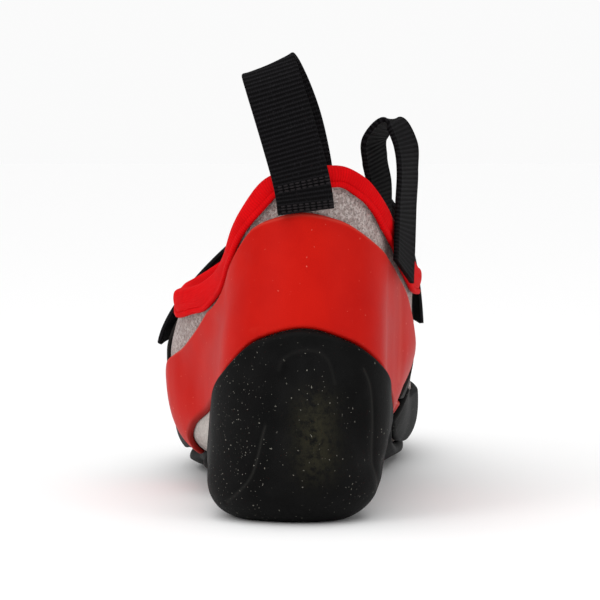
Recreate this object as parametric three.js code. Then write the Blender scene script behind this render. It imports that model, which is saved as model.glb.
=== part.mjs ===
// A left climbing shoe, in millimetres, +Z up, toe towards +Y, big toe side towards +X.
// The shoe is a stack of thin layers on one form. The form is a set of ribs: each rib is a curve in an
// upright plane, from the middle of the sole, out under the foot, up the side and on to the collar or to
// the ridge of the instep. The planes fan round the heel, run straight across the foot, and fan round the toe.
// A layer lies between two distances from the form and two heights along its ribs.
import * as THREE from "three";

// Main sizes of the shoe
const LENGTH = 250;
const BALL_WIDTH = 92;
const INSTEP_HEIGHT = 105;
const HEEL_HEIGHT = 114;

// Thickness of each layer, the gap that keeps two layers apart, the one on the sole, where the form turns
// sharply, and the one below what lies loose
const GAP = 0.35;
const SOLE_GAP = 0.5;
const LOOSE_GAP = 0.85;
const UPPER_WALL = 2;
const RAND_THICKNESS = 1.7;
const CUP_THICKNESS = 3.5;
const TOE_RUBBER_THICKNESS = 2.2;
const SOLE_THICKNESS = 4;
const INSOLE_THICKNESS = 3;
const PANEL_THICKNESS = 1.2;
const TONGUE_THICKNESS = 2;
const STRAP_THICKNESS = 1.6;
const BINDING_THICKNESS = 1.3;
const PIPING_THICKNESS = 1.9;
const WEBBING_THICKNESS = 1.5;

// Widths of what is cut from a strip
const BINDING_WIDTH = 7.5;
const BACK_BINDING_WIDTH = 5.3;
const HEEL_SIDE = 0.85;
const ANKLE_SIDE = 1.2;
const STRAP_WIDTH = 24;
const WEBBING_WIDTH = 18;
const TONGUE_WIDTH = 46;
const THROAT_WIDTH = 22;
const BINDING_INSIDE = 3.2;
const PIPING_WIDTH = 2;

// How much rubber is worn flat where the shoe stands
const WORN_FLAT = 1.1;

// Middle line of the shoe. along: share of the length. spine and ridge: shares of the ball width, towards
// the big toe. sole: lift of the form's underside above the standing height, share of the instep height.
// top: height of the ridge, share of the instep height.
const MIDDLE = [
  { along: 0.12, spine: -0.016, sole: 0.0, ridge: 0.16, top: 1.0 },
  { along: 0.17, spine: -0.018, sole: 0.004, ridge: 0.16, top: 1.0 },
  { along: 0.23, spine: -0.022, sole: 0.024, ridge: 0.16, top: 1.0 },
  { along: 0.33, spine: -0.045, sole: 0.054, ridge: 0.17, top: 1.0 },
  { along: 0.44, spine: -0.055, sole: 0.042, ridge: 0.17, top: 0.985 },
  { along: 0.52, spine: -0.055, sole: 0.015, ridge: 0.155, top: 0.88 },
  { along: 0.6, spine: -0.05, sole: 0.0, ridge: 0.13, top: 0.745 },
  { along: 0.69, spine: -0.025, sole: 0.0, ridge: 0.115, top: 0.605 },
  { along: 0.78, spine: 0.045, sole: 0.0, ridge: 0.115, top: 0.485 },
  { along: 0.84, spine: 0.108, sole: 0.008, ridge: 0.12, top: 0.415 },
  { along: 0.888, spine: 0.13, sole: 0.02, ridge: 0.13, top: 0.365 },
];

// Ribs of each side. along: 0 to 1 round the heel, 1 to 2 along the side, 2 to 3 round the toe.
// half: widest half-width, share of the ball width. girth: its height, share of the instep height.
// round: how square the turn from sole to side is. endHalf and endHeight: where the rib ends, shares of
// the ball width and of the heel height. close: 1 where the rib ends on the ridge instead.
// rise: how far the rib climbs before it turns in. rim: height of the wall's edge, share of the heel height.
const LATERAL = [
  { along: 0.0, half: 0.285, girth: 0.36, round: 0.74, endHalf: 0.2, endHeight: 1.1, close: 0, rise: 0.4, rim: 0.985 },
  { along: 0.35, half: 0.287, girth: 0.3, round: 0.75, endHalf: 0.205, endHeight: 1.07, close: 0, rise: 0.4, rim: 0.955 },
  { along: 0.7, half: 0.288, girth: 0.23, round: 0.76, endHalf: 0.222, endHeight: 0.98, close: 0, rise: 0.35, rim: 0.86 },
  { along: 1.0, half: 0.29, girth: 0.205, round: 0.76, endHalf: 0.242, endHeight: 0.9, close: 0, rise: 0.35, rim: 0.77 },
  { along: 1.08, half: 0.3, girth: 0.21, round: 0.76, endHalf: 0.29, endHeight: 0.83, close: 0, rise: 0.35, rim: 0.685 },
  { along: 1.16, half: 0.326, girth: 0.235, round: 0.76, endHalf: 0.375, endHeight: 0.79, close: 0, rise: 0.3, rim: 0.63 },
  { along: 1.234, half: 0.4, girth: 0.36, round: 0.76, endHalf: 0.462, endHeight: 0.8, close: 0.02, rise: 0.35, rim: 0.607 },
  { along: 1.27, half: 0.44, girth: 0.42, round: 0.78, endHalf: 0.48, endHeight: 0.83, close: 0.12, rise: 0.4, rim: 0.607 },
  { along: 1.31, half: 0.466, girth: 0.45, round: 0.8, endHalf: 0.48, endHeight: 0.88, close: 0.45, rise: 0.44, rim: 0.62 },
  { along: 1.36, half: 0.472, girth: 0.45, round: 0.81, endHalf: 0.45, endHeight: 0.9, close: 1, rise: 0.36, rim: 0.65 },
  { along: 1.4, half: 0.468, girth: 0.45, round: 0.81, endHalf: 0.45, endHeight: 0.9, close: 1, rise: 0.31, rim: 0.7 },
  { along: 1.443, half: 0.462, girth: 0.43, round: 0.82, endHalf: 0.45, endHeight: 0.9, close: 1, rise: 0.31, rim: 0.78 },
  { along: 1.48, half: 0.458, girth: 0.39, round: 0.83, endHalf: 0.45, endHeight: 0.8, close: 1, rise: 0.34, rim: 0.9 },
  { along: 1.53, half: 0.456, girth: 0.31, round: 0.84, endHalf: 0.45, endHeight: 0.8, close: 1, rise: 0.4, rim: 1.2 },
  { along: 1.625, half: 0.46, girth: 0.2, round: 0.84, endHalf: 0.4, endHeight: 0.7, close: 1, rise: 0.5, rim: 1.2 },
  { along: 1.74, half: 0.45, girth: 0.18, round: 0.82, endHalf: 0.4, endHeight: 0.6, close: 1, rise: 0.5, rim: 1.2 },
  { along: 1.859, half: 0.424, girth: 0.17, round: 0.8, endHalf: 0.3, endHeight: 0.5, close: 1, rise: 0.52, rim: 1.2 },
  { along: 1.9375, half: 0.378, girth: 0.165, round: 0.78, endHalf: 0.2, endHeight: 0.4, close: 1, rise: 0.54, rim: 1.2 },
  { along: 2.0, half: 0.322, girth: 0.165, round: 0.76, endHalf: 0.2, endHeight: 0.4, close: 1, rise: 0.56, rim: 1.2 },
  { along: 2.2, half: 0.284, girth: 0.165, round: 0.75, endHalf: 0.2, endHeight: 0.4, close: 1, rise: 0.57, rim: 1.2 },
  { along: 2.45, half: 0.268, girth: 0.165, round: 0.74, endHalf: 0.2, endHeight: 0.4, close: 1, rise: 0.58, rim: 1.2 },
  { along: 3.0, half: 0.275, girth: 0.17, round: 0.72, endHalf: 0.2, endHeight: 0.4, close: 1, rise: 0.6, rim: 1.2 },
];
const MEDIAL = [
  { along: 0.0, half: 0.285, girth: 0.36, round: 0.74, endHalf: 0.2, endHeight: 1.1, close: 0, rise: 0.4, rim: 0.985 },
  { along: 0.35, half: 0.283, girth: 0.36, round: 0.75, endHalf: 0.205, endHeight: 1.1, close: 0, rise: 0.4, rim: 0.985 },
  { along: 0.7, half: 0.277, girth: 0.38, round: 0.76, endHalf: 0.225, endHeight: 1.07, close: 0, rise: 0.4, rim: 0.95 },
  { along: 1.0, half: 0.27, girth: 0.4, round: 0.74, endHalf: 0.278, endHeight: 0.99, close: 0, rise: 0.4, rim: 0.865 },
  { along: 1.08, half: 0.305, girth: 0.45, round: 0.6, endHalf: 0.335, endHeight: 0.93, close: 0, rise: 0.4, rim: 0.79 },
  { along: 1.16, half: 0.365, girth: 0.5, round: 0.48, endHalf: 0.4, endHeight: 0.88, close: 0, rise: 0.4, rim: 0.71 },
  { along: 1.234, half: 0.418, girth: 0.52, round: 0.38, endHalf: 0.445, endHeight: 0.87, close: 0, rise: 0.4, rim: 0.675 },
  { along: 1.27, half: 0.434, girth: 0.515, round: 0.36, endHalf: 0.46, endHeight: 0.88, close: 0.1, rise: 0.44, rim: 0.672 },
  { along: 1.31, half: 0.443, girth: 0.5, round: 0.36, endHalf: 0.46, endHeight: 0.9, close: 0.45, rise: 0.5, rim: 0.685 },
  { along: 1.36, half: 0.446, girth: 0.48, round: 0.4, endHalf: 0.45, endHeight: 0.9, close: 1, rise: 0.58, rim: 0.715 },
  { along: 1.4, half: 0.443, girth: 0.45, round: 0.47, endHalf: 0.45, endHeight: 0.9, close: 1, rise: 0.6, rim: 0.77 },
  { along: 1.443, half: 0.438, girth: 0.41, round: 0.57, endHalf: 0.45, endHeight: 0.9, close: 1, rise: 0.6, rim: 0.86 },
  { along: 1.48, half: 0.434, girth: 0.37, round: 0.66, endHalf: 0.45, endHeight: 0.8, close: 1, rise: 0.6, rim: 0.96 },
  { along: 1.53, half: 0.432, girth: 0.32, round: 0.73, endHalf: 0.45, endHeight: 0.8, close: 1, rise: 0.6, rim: 1.2 },
  { along: 1.625, half: 0.438, girth: 0.26, round: 0.82, endHalf: 0.4, endHeight: 0.7, close: 1, rise: 0.58, rim: 1.2 },
  { along: 1.74, half: 0.452, girth: 0.22, round: 0.85, endHalf: 0.4, endHeight: 0.6, close: 1, rise: 0.56, rim: 1.2 },
  { along: 1.859, half: 0.384, girth: 0.2, round: 0.82, endHalf: 0.3, endHeight: 0.5, close: 1, rise: 0.56, rim: 1.2 },
  { along: 1.9375, half: 0.3, girth: 0.185, round: 0.79, endHalf: 0.2, endHeight: 0.4, close: 1, rise: 0.56, rim: 1.2 },
  { along: 2.0, half: 0.25, girth: 0.175, round: 0.76, endHalf: 0.2, endHeight: 0.4, close: 1, rise: 0.56, rim: 1.2 },
  { along: 2.22, half: 0.239, girth: 0.172, round: 0.75, endHalf: 0.2, endHeight: 0.4, close: 1, rise: 0.56, rim: 1.2 },
  { along: 2.44, half: 0.243, girth: 0.17, round: 0.74, endHalf: 0.2, endHeight: 0.4, close: 1, rise: 0.57, rim: 1.2 },
  { along: 2.67, half: 0.257, girth: 0.17, round: 0.73, endHalf: 0.2, endHeight: 0.4, close: 1, rise: 0.58, rim: 1.2 },
  { along: 3.0, half: 0.275, girth: 0.17, round: 0.72, endHalf: 0.2, endHeight: 0.4, close: 1, rise: 0.6, rim: 1.2 },
];

// Edges of the rubber, along each side. cup: top of the heel cup. randLow and randHigh: lower and upper
// edge of the tension rand. toe: top of the toe rubber. All are shares of the heel height. sole: how far
// out the outsole reaches, share of the half-width.
const LATERAL_EDGES = [
  { along: 0.0, cup: 0.552, randLow: 0.552, randHigh: 0.873, toe: 0.3, sole: 0.8 },
  { along: 0.35, cup: 0.522, randLow: 0.522, randHigh: 0.852, toe: 0.3, sole: 0.8 },
  { along: 0.7, cup: 0.435, randLow: 0.435, randHigh: 0.8, toe: 0.3, sole: 0.8 },
  { along: 1.0, cup: 0.36, randLow: 0.36, randHigh: 0.735, toe: 0.3, sole: 0.8 },
  { along: 1.04, cup: 0.31, randLow: 0.35, randHigh: 0.69, toe: 0.3, sole: 0.8 },
  { along: 1.08, cup: 0.24, randLow: 0.33, randHigh: 0.64, toe: 0.3, sole: 0.82 },
  { along: 1.135, cup: 0.13, randLow: 0.295, randHigh: 0.56, toe: 0.3, sole: 0.82 },
  { along: 1.26, cup: 0.1, randLow: 0.178, randHigh: 0.435, toe: 0.3, sole: 0.76 },
  { along: 1.313, cup: 0.1, randLow: 0.11, randHigh: 0.4, toe: 0.3, sole: 0.7 },
  { along: 1.345, cup: 0.1, randLow: 0.06, randHigh: 0.37, toe: 0.3, sole: 0.69 },
  { along: 1.427, cup: 0.1, randLow: 0.04, randHigh: 0.3, toe: 0.3, sole: 0.74 },
  { along: 1.625, cup: 0.1, randLow: 0.04, randHigh: 0.25, toe: 0.245, sole: 0.89 },
  { along: 2.0, cup: 0.1, randLow: 0.04, randHigh: 0.25, toe: 0.24, sole: 0.88 },
  { along: 3.0, cup: 0.1, randLow: 0.04, randHigh: 0.25, toe: 0.235, sole: 0.87 },
];
const MEDIAL_EDGES = [
  { along: 0.0, cup: 0.552, randLow: 0.552, randHigh: 0.873, toe: 0.3, sole: 0.8 },
  { along: 0.35, cup: 0.518, randLow: 0.518, randHigh: 0.852, toe: 0.3, sole: 0.8 },
  { along: 0.7, cup: 0.448, randLow: 0.448, randHigh: 0.8, toe: 0.3, sole: 0.8 },
  { along: 1.0, cup: 0.385, randLow: 0.385, randHigh: 0.75, toe: 0.3, sole: 0.78 },
  { along: 1.04, cup: 0.335, randLow: 0.365, randHigh: 0.725, toe: 0.3, sole: 0.76 },
  { along: 1.08, cup: 0.265, randLow: 0.33, randHigh: 0.695, toe: 0.3, sole: 0.74 },
  { along: 1.135, cup: 0.17, randLow: 0.28, randHigh: 0.64, toe: 0.3, sole: 0.73 },
  { along: 1.2, cup: 0.12, randLow: 0.24, randHigh: 0.555, toe: 0.3, sole: 0.73 },
  { along: 1.26, cup: 0.1, randLow: 0.2, randHigh: 0.44, toe: 0.3, sole: 0.73 },
  { along: 1.313, cup: 0.1, randLow: 0.16, randHigh: 0.33, toe: 0.3, sole: 0.74 },
  { along: 1.427, cup: 0.1, randLow: 0.1, randHigh: 0.26, toe: 0.3, sole: 0.8 },
  { along: 1.625, cup: 0.1, randLow: 0.04, randHigh: 0.25, toe: 0.24, sole: 0.88 },
  { along: 2.0, cup: 0.1, randLow: 0.04, randHigh: 0.25, toe: 0.24, sole: 0.88 },
  { along: 3.0, cup: 0.1, randLow: 0.04, randHigh: 0.25, toe: 0.235, sole: 0.87 },
];

// Places along the shoe, shares of its length
const HEEL_CENTRE = 0.12;
const TOE_CENTRE = 0.888;
const CUP_FRONT = 0.224;
const PANEL_BACK = 0.424;
const RAND_FRONT = 0.448;
const PANEL_FRONT = 0.56;
const STRAP_MIDDLE = 0.472;
const TONGUE_BACK = 0.38;
const THROAT_END = 0.62;
const ANKLE_FRONT = [0.462, 0.476, 0.49, 0.506];
const TONGUE_FRONT = 0.66;

// Ribs of the faceted model
const HEEL_RIBS = 6;
const TOE_RIBS = 4;
const REAR_RIB_STEP = 0.036;
const FRONT_RIB_STEP = 0.075;
const LEVELS = 16;

const heelY = HEEL_CENTRE * LENGTH;
const toeY = TOE_CENTRE * LENGTH;
const standing = CUP_THICKNESS + GAP - WORN_FLAT;

// Slope of the toe's top at its centre, and the straight part of an open rib below its end
const TOE_SLOPE = 0.42;
const END_PULL = 0.4;

// Place of a share of the length, along a side
const alongOf = (share) => 1 + (share * LENGTH - heelY) / (toeY - heelY);

// Half-joint between two pieces of rubber that meet end to end, share of the length
const JOINT = (2 * GAP) / LENGTH;

// Places by distance: a side is about four times as long as a quarter turn of the heel or toe.
function evenly(at) {
  if (at < 1) return at;
  return at < 2 ? 1 + 4 * (at - 1) : at + 3;
}

// A smooth curve through one column of a table, which never overshoots its rows. The curves of the sides
// are level at both ends, where one side passes into the other.
function through(rows, column, spacing, level) {
  const x = rows.map((row) => spacing(row.along));
  const y = rows.map((row) => row[column]);
  const rise = x.slice(1).map((next, i) => (y[i + 1] - y[i]) / (next - x[i]));
  const slope = x.map((_, i) => {
    if (i === 0 || i === x.length - 1) return level ? 0 : rise[Math.min(i, rise.length - 1)];
    if (rise[i - 1] * rise[i] <= 0) return 0;
    return (2 * rise[i - 1] * rise[i]) / (rise[i - 1] + rise[i]);
  });
  return (at) => {
    const t = Math.min(Math.max(spacing(at), x[0]), x[x.length - 1]);
    let i = 0;
    while (i < x.length - 2 && t > x[i + 1]) i += 1;
    const step = x[i + 1] - x[i];
    const s = (t - x[i]) / step;
    const left = (1 + 2 * s) * (1 - s) ** 2 * y[i] + s * (1 - s) ** 2 * step * slope[i];
    const right = s ** 2 * (3 - 2 * s) * y[i + 1] - s ** 2 * (1 - s) * step * slope[i + 1];
    return left + right;
  };
}

function columns(rows, spacing = evenly, level = true) {
  const names = Object.keys(rows[0]).filter((name) => name !== "along");
  return Object.fromEntries(names.map((name) => [name, through(rows, name, spacing, level)]));
}

const middle = columns(MIDDLE, (share) => share, false);
const SIDES = {
  lateral: { sign: -1, form: columns(LATERAL), edge: columns(LATERAL_EDGES) },
  medial: { sign: 1, form: columns(MEDIAL), edge: columns(MEDIAL_EDGES) },
};

function mix(a, b, share) {
  return a + (b - a) * share;
}

// Point and direction of a cubic curve through four control points.
function bezier(a, b, c, d, t) {
  const s = 1 - t;
  const at = (i) => s * s * s * a[i] + 3 * s * s * t * b[i] + 3 * s * t * t * c[i] + t * t * t * d[i];
  const along = (i) => s * s * (b[i] - a[i]) + 2 * s * t * (c[i] - b[i]) + t * t * (d[i] - c[i]);
  return { r: at(0), z: at(1), dr: along(0), dz: along(1) };
}

// A rib of one side, at a place along it: 0 to 1 round the heel, 1 to 2 beside the foot, 2 to 3 round the toe.
function rib(sideName, along) {
  const side = SIDES[sideName];
  const y = mix(heelY, toeY, Math.min(Math.max(along - 1, 0), 1));
  const share = y / LENGTH;
  const turn = (Math.PI / 2) * (along < 1 ? along - 1 : Math.max(along - 2, 0));
  const form = Object.fromEntries(Object.entries(side.form).map(([name, at]) => [name, at(along)]));
  const spine = middle.spine(share) * BALL_WIDTH;
  const half = form.half * BALL_WIDTH;
  const low = standing + middle.sole(share) * INSTEP_HEIGHT;
  const girth = form.girth * INSTEP_HEIGHT;
  const ridge = side.sign * (middle.ridge(share) * BALL_WIDTH - spine) * (along < 2 ? 1 : 0);
  const end = [
    mix(form.endHalf * BALL_WIDTH, ridge, form.close),
    mix(form.endHeight * HEEL_HEIGHT, middle.top(share) * INSTEP_HEIGHT, form.close),
  ];
  const reach = form.rise * (half - end[0]);
  const slope = TOE_SLOPE * (along > 2 ? Math.sin(turn) : 0);
  const handle = [
    mix(0, reach, form.close),
    mix(-END_PULL * (end[1] - girth), -slope * reach, form.close),
  ];
  return {
    sideName,
    along,
    y,
    spine,
    direction: [side.sign * Math.cos(turn), Math.sin(turn)],
    half,
    ridge,
    form,
    edge: Object.fromEntries(Object.entries(side.edge).map(([name, at]) => [name, at(along)])),
    under: [
      [0, low],
      [form.round * half, low],
      [half, mix(girth, low, form.round)],
      [half, girth],
    ],
    over: [
      [half, girth],
      [half, mix(girth, end[1], form.rise)],
      [end[0] + handle[0], end[1] + handle[1]],
      end,
    ],
  };
}

// Point of a rib. v: 0 at the middle of the sole, 0.5 at the girth, 1 at the rib's end. lift: distance
// outwards from the form. In words: the cubic curve's point, moved along its normal in the rib's plane.
function ribPoint(line, v, lift) {
  const point = v < 0.5 ? bezier(...line.under, v * 2) : bezier(...line.over, v * 2 - 1);
  if (v > 1 - 1e-6 && line.form.close > 0.999) return { r: point.r, z: point.z + lift };
  const size = Math.hypot(point.dr, point.dz) || 1;
  return { r: point.r + (lift * point.dz) / size, z: point.z - (lift * point.dr) / size };
}

function formPoint(line, v, lift) {
  const { r, z } = ribPoint(line, v, lift);
  return [line.spine + line.direction[0] * r, line.y + line.direction[1] * r, z];
}

// The share v at which a rib passes a value, found by halving.
function find(line, from, to, passed) {
  let [low, high] = [from, to];
  for (let i = 0; i < 30; i += 1) {
    const mid = (low + high) / 2;
    if (passed(ribPoint(line, mid, 0), mid)) high = mid;
    else low = mid;
  }
  return (low + high) / 2;
}

const atHeight = (line, height) => find(line, 0, 1, (point) => point.z > height);
const atSoleEdge = (line) => find(line, 0, 0.5, (point) => point.r > line.edge.sole * line.half);
const atSpan = (line, span) => find(line, 0.5, 1, (point) => point.r < line.ridge + span);

// The lesser of two shares, with their corner rounded off.
function softLeast(a, b) {
  const sharpness = 16;
  return -Math.log(Math.exp(-sharpness * a) + Math.exp(-sharpness * b)) / sharpness;
}

// Half-width of the throat, which ends in a half circle.
function throatHalf(y) {
  const radius = THROAT_WIDTH / 2;
  const past = Math.max(y - (THROAT_END * LENGTH - radius), 0);
  return Math.sqrt(Math.max(radius ** 2 - past ** 2, 0));
}

// The share at which a rib reaches the rim's height. A rim above the ridge is past the rib's end.
function rimHeight(line) {
  const past = line.form.rim - line.over[3][1] / HEEL_HEIGHT;
  return past > 0 ? 1 + 4 * past : find(line, 0.5, 1, (point) => point.z > line.form.rim * HEEL_HEIGHT);
}

// Edge of the wall: at the rim's height round the ankle, at the throat's side on the instep, and on the
// ridge in front of the throat.
function atRim(line) {
  if (line.form.close < 0.999) return rimHeight(line);
  const span = throatHalf(line.y);
  return span > 0 ? Math.min(softLeast(rimHeight(line), atSpan(line, span)), 1) : 1;
}

// Places of the ribs along one side, from the heel's back to the toe's tip. They stand closer where the
// rubber's edges run aslant, and round the throat's end.
function places() {
  const list = [];
  for (let i = 0; i < HEEL_RIBS; i += 1) list.push(i / HEEL_RIBS);
  const seam = [CUP_FRONT, CUP_FRONT + JOINT, PANEL_BACK, RAND_FRONT, RAND_FRONT + JOINT, PANEL_FRONT];
  const radius = THROAT_WIDTH / 2;
  const throat = [-radius, -0.6 * radius, -0.25 * radius, -0.07 * radius, 0];
  const marks = [...seam, ...ANKLE_FRONT, ...throat.map((past) => THROAT_END + past / LENGTH)].map(alongOf);
  const clear = (at) => marks.every((mark) => Math.abs(mark - at) > REAR_RIB_STEP / 2);
  const front = alongOf(RAND_FRONT);
  for (let at = 1; at < front; at += REAR_RIB_STEP) if (clear(at)) list.push(at);
  for (let at = front + FRONT_RIB_STEP; at < 2; at += FRONT_RIB_STEP) if (clear(at)) list.push(at);
  list.push(...marks);
  for (let i = 0; i <= TOE_RIBS; i += 1) list.push(2 + i / TOE_RIBS);
  return list.sort((a, b) => a - b).filter((at, i, all) => i === 0 || at - all[i - 1] > 1e-4);
}

const PLACES = places();

// Ribs from one place on the lateral side, round the heel or the toe, to one on the medial side.
function ribsRoundHeel(lateralEnd, medialEnd) {
  const lateral = PLACES.filter((at) => at <= lateralEnd + 1e-4).map((at) => rib("lateral", at));
  const medial = PLACES.filter((at) => at > 0 && at <= medialEnd + 1e-4).map((at) => rib("medial", at));
  return [...lateral.reverse(), ...medial];
}

function ribsRoundToe(lateralStart, medialStart) {
  const lateral = PLACES.filter((at) => at < 3 && at >= lateralStart - 1e-4).map((at) => rib("lateral", at));
  const medial = PLACES.filter((at) => at >= medialStart - 1e-4).map((at) => rib("medial", at));
  return [...medial, ...lateral.reverse()];
}

function allRibs() {
  const lateral = PLACES.map((at) => rib("lateral", at));
  const medial = PLACES.filter((at) => at > 0 && at < 3).map((at) => rib("medial", at));
  return [...lateral.reverse(), ...medial];
}

// A closed solid between two lifts of a grid of points. Points that fall together are one, so a grid may
// close on itself or end in a pole. Every edge that only one face uses gets a wall.
function solidBetween(grid, lower, upper) {
  const numbers = new Map();
  const top = [];
  const bottom = [];
  const numberOf = (i, j) => {
    const high = grid.at(i, j, upper);
    const low = grid.at(i, j, lower);
    const key = [...high, ...low].map((value) => Math.round(value * 2000)).join(" ");
    if (!numbers.has(key)) {
      numbers.set(key, top.length);
      top.push(high);
      bottom.push(low);
    }
    return numbers.get(key);
  };
  const faces = [];
  const columnsUsed = grid.wrap ? grid.across : grid.across - 1;
  for (let i = 0; i < columnsUsed; i += 1) {
    const next = (i + 1) % grid.across;
    for (let j = 0; j < grid.up - 1; j += 1) {
      const [a, b] = [numberOf(i, j), numberOf(next, j)];
      const [c, d] = [numberOf(next, j + 1), numberOf(i, j + 1)];
      faces.push([a, b, c], [a, c, d]);
    }
  }
  const real = faces.filter(([a, b, c]) => a !== b && b !== c && c !== a);
  const edges = new Set(real.flatMap(([a, b, c]) => [`${a} ${b}`, `${b} ${c}`, `${c} ${a}`]));
  const offset = top.length;
  const indices = [];
  for (const [a, b, c] of real) indices.push(a, b, c, offset + c, offset + b, offset + a);
  for (const edge of edges) {
    const [a, b] = edge.split(" ").map(Number);
    if (!edges.has(`${b} ${a}`)) indices.push(b, a, offset + b, offset + b, a, offset + a);
  }
  const geometry = new THREE.BufferGeometry();
  geometry.setAttribute("position", new THREE.Float32BufferAttribute([...top, ...bottom].flat(), 3));
  geometry.setIndex(indices);
  return geometry;
}

// Levels of a column between its two edges. Every layer uses the same levels, so that their facets lie
// side by side, and a level that would fall close to an edge joins it.
function levelsBetween(low, high) {
  const near = 0.35 / LEVELS;
  const inner = Array.from({ length: LEVELS - 1 }, (_, i) => (i + 1) / LEVELS);
  const kept = inner.map((v) => {
    if (v < low + near) return low;
    return v > high - near ? high : v;
  });
  return [low, ...kept, high];
}

// A layer on the form, between two edges and two lifts. What is lowest is worn flat on the ground.
// fade: how much thinner the layer is at its upper edge.
function layer({ ribs, wrap = false, from, to, lower, upper, fade = 0 }) {
  const levels = ribs.map((line) => levelsBetween(from(line), to(line)));
  const at = (i, j, lift) => {
    const last = levels[i].length - 1;
    const share = levels[i][j] / levels[i][last];
    const raised = lift === upper ? mix(upper, lower + (upper - lower) * (1 - fade), share ** 8) : lift;
    const [x, y, z] = formPoint(ribs[i], levels[i][j], raised);
    return [x, y, Math.max(z, 0)];
  };
  return solidBetween({ across: ribs.length, up: LEVELS + 1, wrap, at }, lower, upper);
}

// A layer over the ridge, from one share of the lateral ribs to one of the medial ribs.
function bridge({ shares, lateral, medial, steps, lift, thickness }) {
  const lines = shares.map((share) => [rib("lateral", alongOf(share)), rib("medial", alongOf(share))]);
  const across = 2 * steps + 1;
  const at = (i, j, height) => {
    const onLateral = j <= steps;
    const line = lines[i][onLateral ? 0 : 1];
    const edge = onLateral ? lateral(line) : medial(line);
    const share = onLateral ? j / steps : (across - 1 - j) / steps;
    return formPoint(line, mix(edge, 1, share), height + lift(line, share, onLateral));
  };
  return solidBetween({ across: shares.length, up: across, wrap: false, at }, 0, thickness);
}

const COLOURS = {
  suede: { color: 0xa29a95, roughness: 0.95, metalness: 0 },
  redRubber: { color: 0xd01c11, roughness: 0.45, metalness: 0 },
  blackRubber: { color: 0x1a1a1a, roughness: 0.6, metalness: 0 },
  redElastic: { color: 0xe30d16, roughness: 0.8, metalness: 0 },
  webbing: { color: 0x151314, roughness: 0.85, metalness: 0 },
  synthetic: { color: 0x1d1b1a, roughness: 0.7, metalness: 0 },
  board: { color: 0x8a8178, roughness: 0.95, metalness: 0 },
};

const shoe = new THREE.Group();

function add(name, geometry, finish) {
  const mesh = new THREE.Mesh(geometry, new THREE.MeshStandardMaterial(COLOURS[finish]));
  mesh.name = name;
  shoe.add(mesh);
}

// The wall turns in under the foot, and the insole board lies inside that turn.
const TURN_IN = 0.88;
const under = (line, share) => find(line, 0, 0.5, (point) => point.r > share * line.edge.sole * line.half);

const above = (height) => height + GAP;

function upper() {
  return layer({
    ribs: allRibs(),
    wrap: true,
    from: (line) => under(line, TURN_IN),
    to: atRim,
    lower: -UPPER_WALL,
    upper: 0,
  });
}

function insole() {
  return layer({
    ribs: allRibs(),
    wrap: true,
    from: () => 0,
    to: (line) => under(line, TURN_IN) - 2 * GAP / line.half,
    lower: -INSOLE_THICKNESS,
    upper: 0,
  });
}

function outsole() {
  const start = alongOf(CUP_FRONT + JOINT);
  return layer({
    ribs: ribsRoundToe(start, start),
    from: () => 0,
    to: atSoleEdge,
    lower: SOLE_GAP,
    upper: SOLE_GAP + SOLE_THICKNESS,
    fade: 0.4,
  });
}

function heelCup() {
  const end = alongOf(CUP_FRONT);
  return layer({
    ribs: ribsRoundHeel(end, end),
    from: () => 0,
    to: (line) => atHeight(line, line.edge.cup * HEEL_HEIGHT),
    lower: GAP,
    upper: GAP + CUP_THICKNESS,
    fade: 0.35,
  });
}

// The edge that a rubber piece keeps from the outsole or, round the heel, from the cup.
function aboveSole(line, height) {
  const seat = atHeight(line, above(above(above(height))));
  return line.y > CUP_FRONT * LENGTH ? Math.max(seat, atSoleEdge(line) + 2 * GAP / line.half) : seat;
}

function tensionRand() {
  const end = alongOf(RAND_FRONT);
  return layer({
    ribs: ribsRoundHeel(end, end),
    from: (line) => aboveSole(line, line.edge.randLow * HEEL_HEIGHT),
    to: (line) => Math.min(atHeight(line, line.edge.randHigh * HEEL_HEIGHT), belowBinding(line)),
    lower: GAP,
    upper: GAP + RAND_THICKNESS,
  });
}

function toeRubber() {
  const start = alongOf(RAND_FRONT + JOINT);
  return layer({
    ribs: ribsRoundToe(start, start),
    from: (line) => aboveSole(line, 0),
    to: (line) => atHeight(line, line.edge.toe * HEEL_HEIGHT),
    lower: GAP,
    upper: GAP + TOE_RUBBER_THICKNESS,
  });
}

// The panel that the strap pulls on, between the rubber and the binding.
function panel(sideName) {
  const places = PLACES.filter((at) => at >= alongOf(PANEL_BACK) - 1e-4 && at <= alongOf(PANEL_FRONT) + 1e-4);
  const lines = places.map((at) => rib(sideName, at));
  if (sideName === "lateral") lines.reverse();
  return layer({
    ribs: lines,
    from: (line) => atHeight(line, above(above(rubberTop(line)))),
    to: belowBinding,
    lower: LOOSE_GAP,
    upper: LOOSE_GAP + PANEL_THICKNESS,
  });
}

function rubberTop(line) {
  const onRand = line.y < (RAND_FRONT + JOINT / 2) * LENGTH;
  return (onRand ? line.edge.randHigh : line.edge.toe) * HEEL_HEIGHT;
}

// Point of the form at a place and share that may run on to the other side, past the heel's back or over
// the ridge.
function onForm({ sideName, along, v }) {
  const other = sideName === "lateral" ? "medial" : "lateral";
  const crossed = along < 0 !== v > 1;
  const line = rib(crossed ? other : sideName, Math.abs(along));
  const share = v > 1 ? 2 - v : v;
  return { line, share, point: new THREE.Vector3(...formPoint(line, share, 0)) };
}

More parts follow.
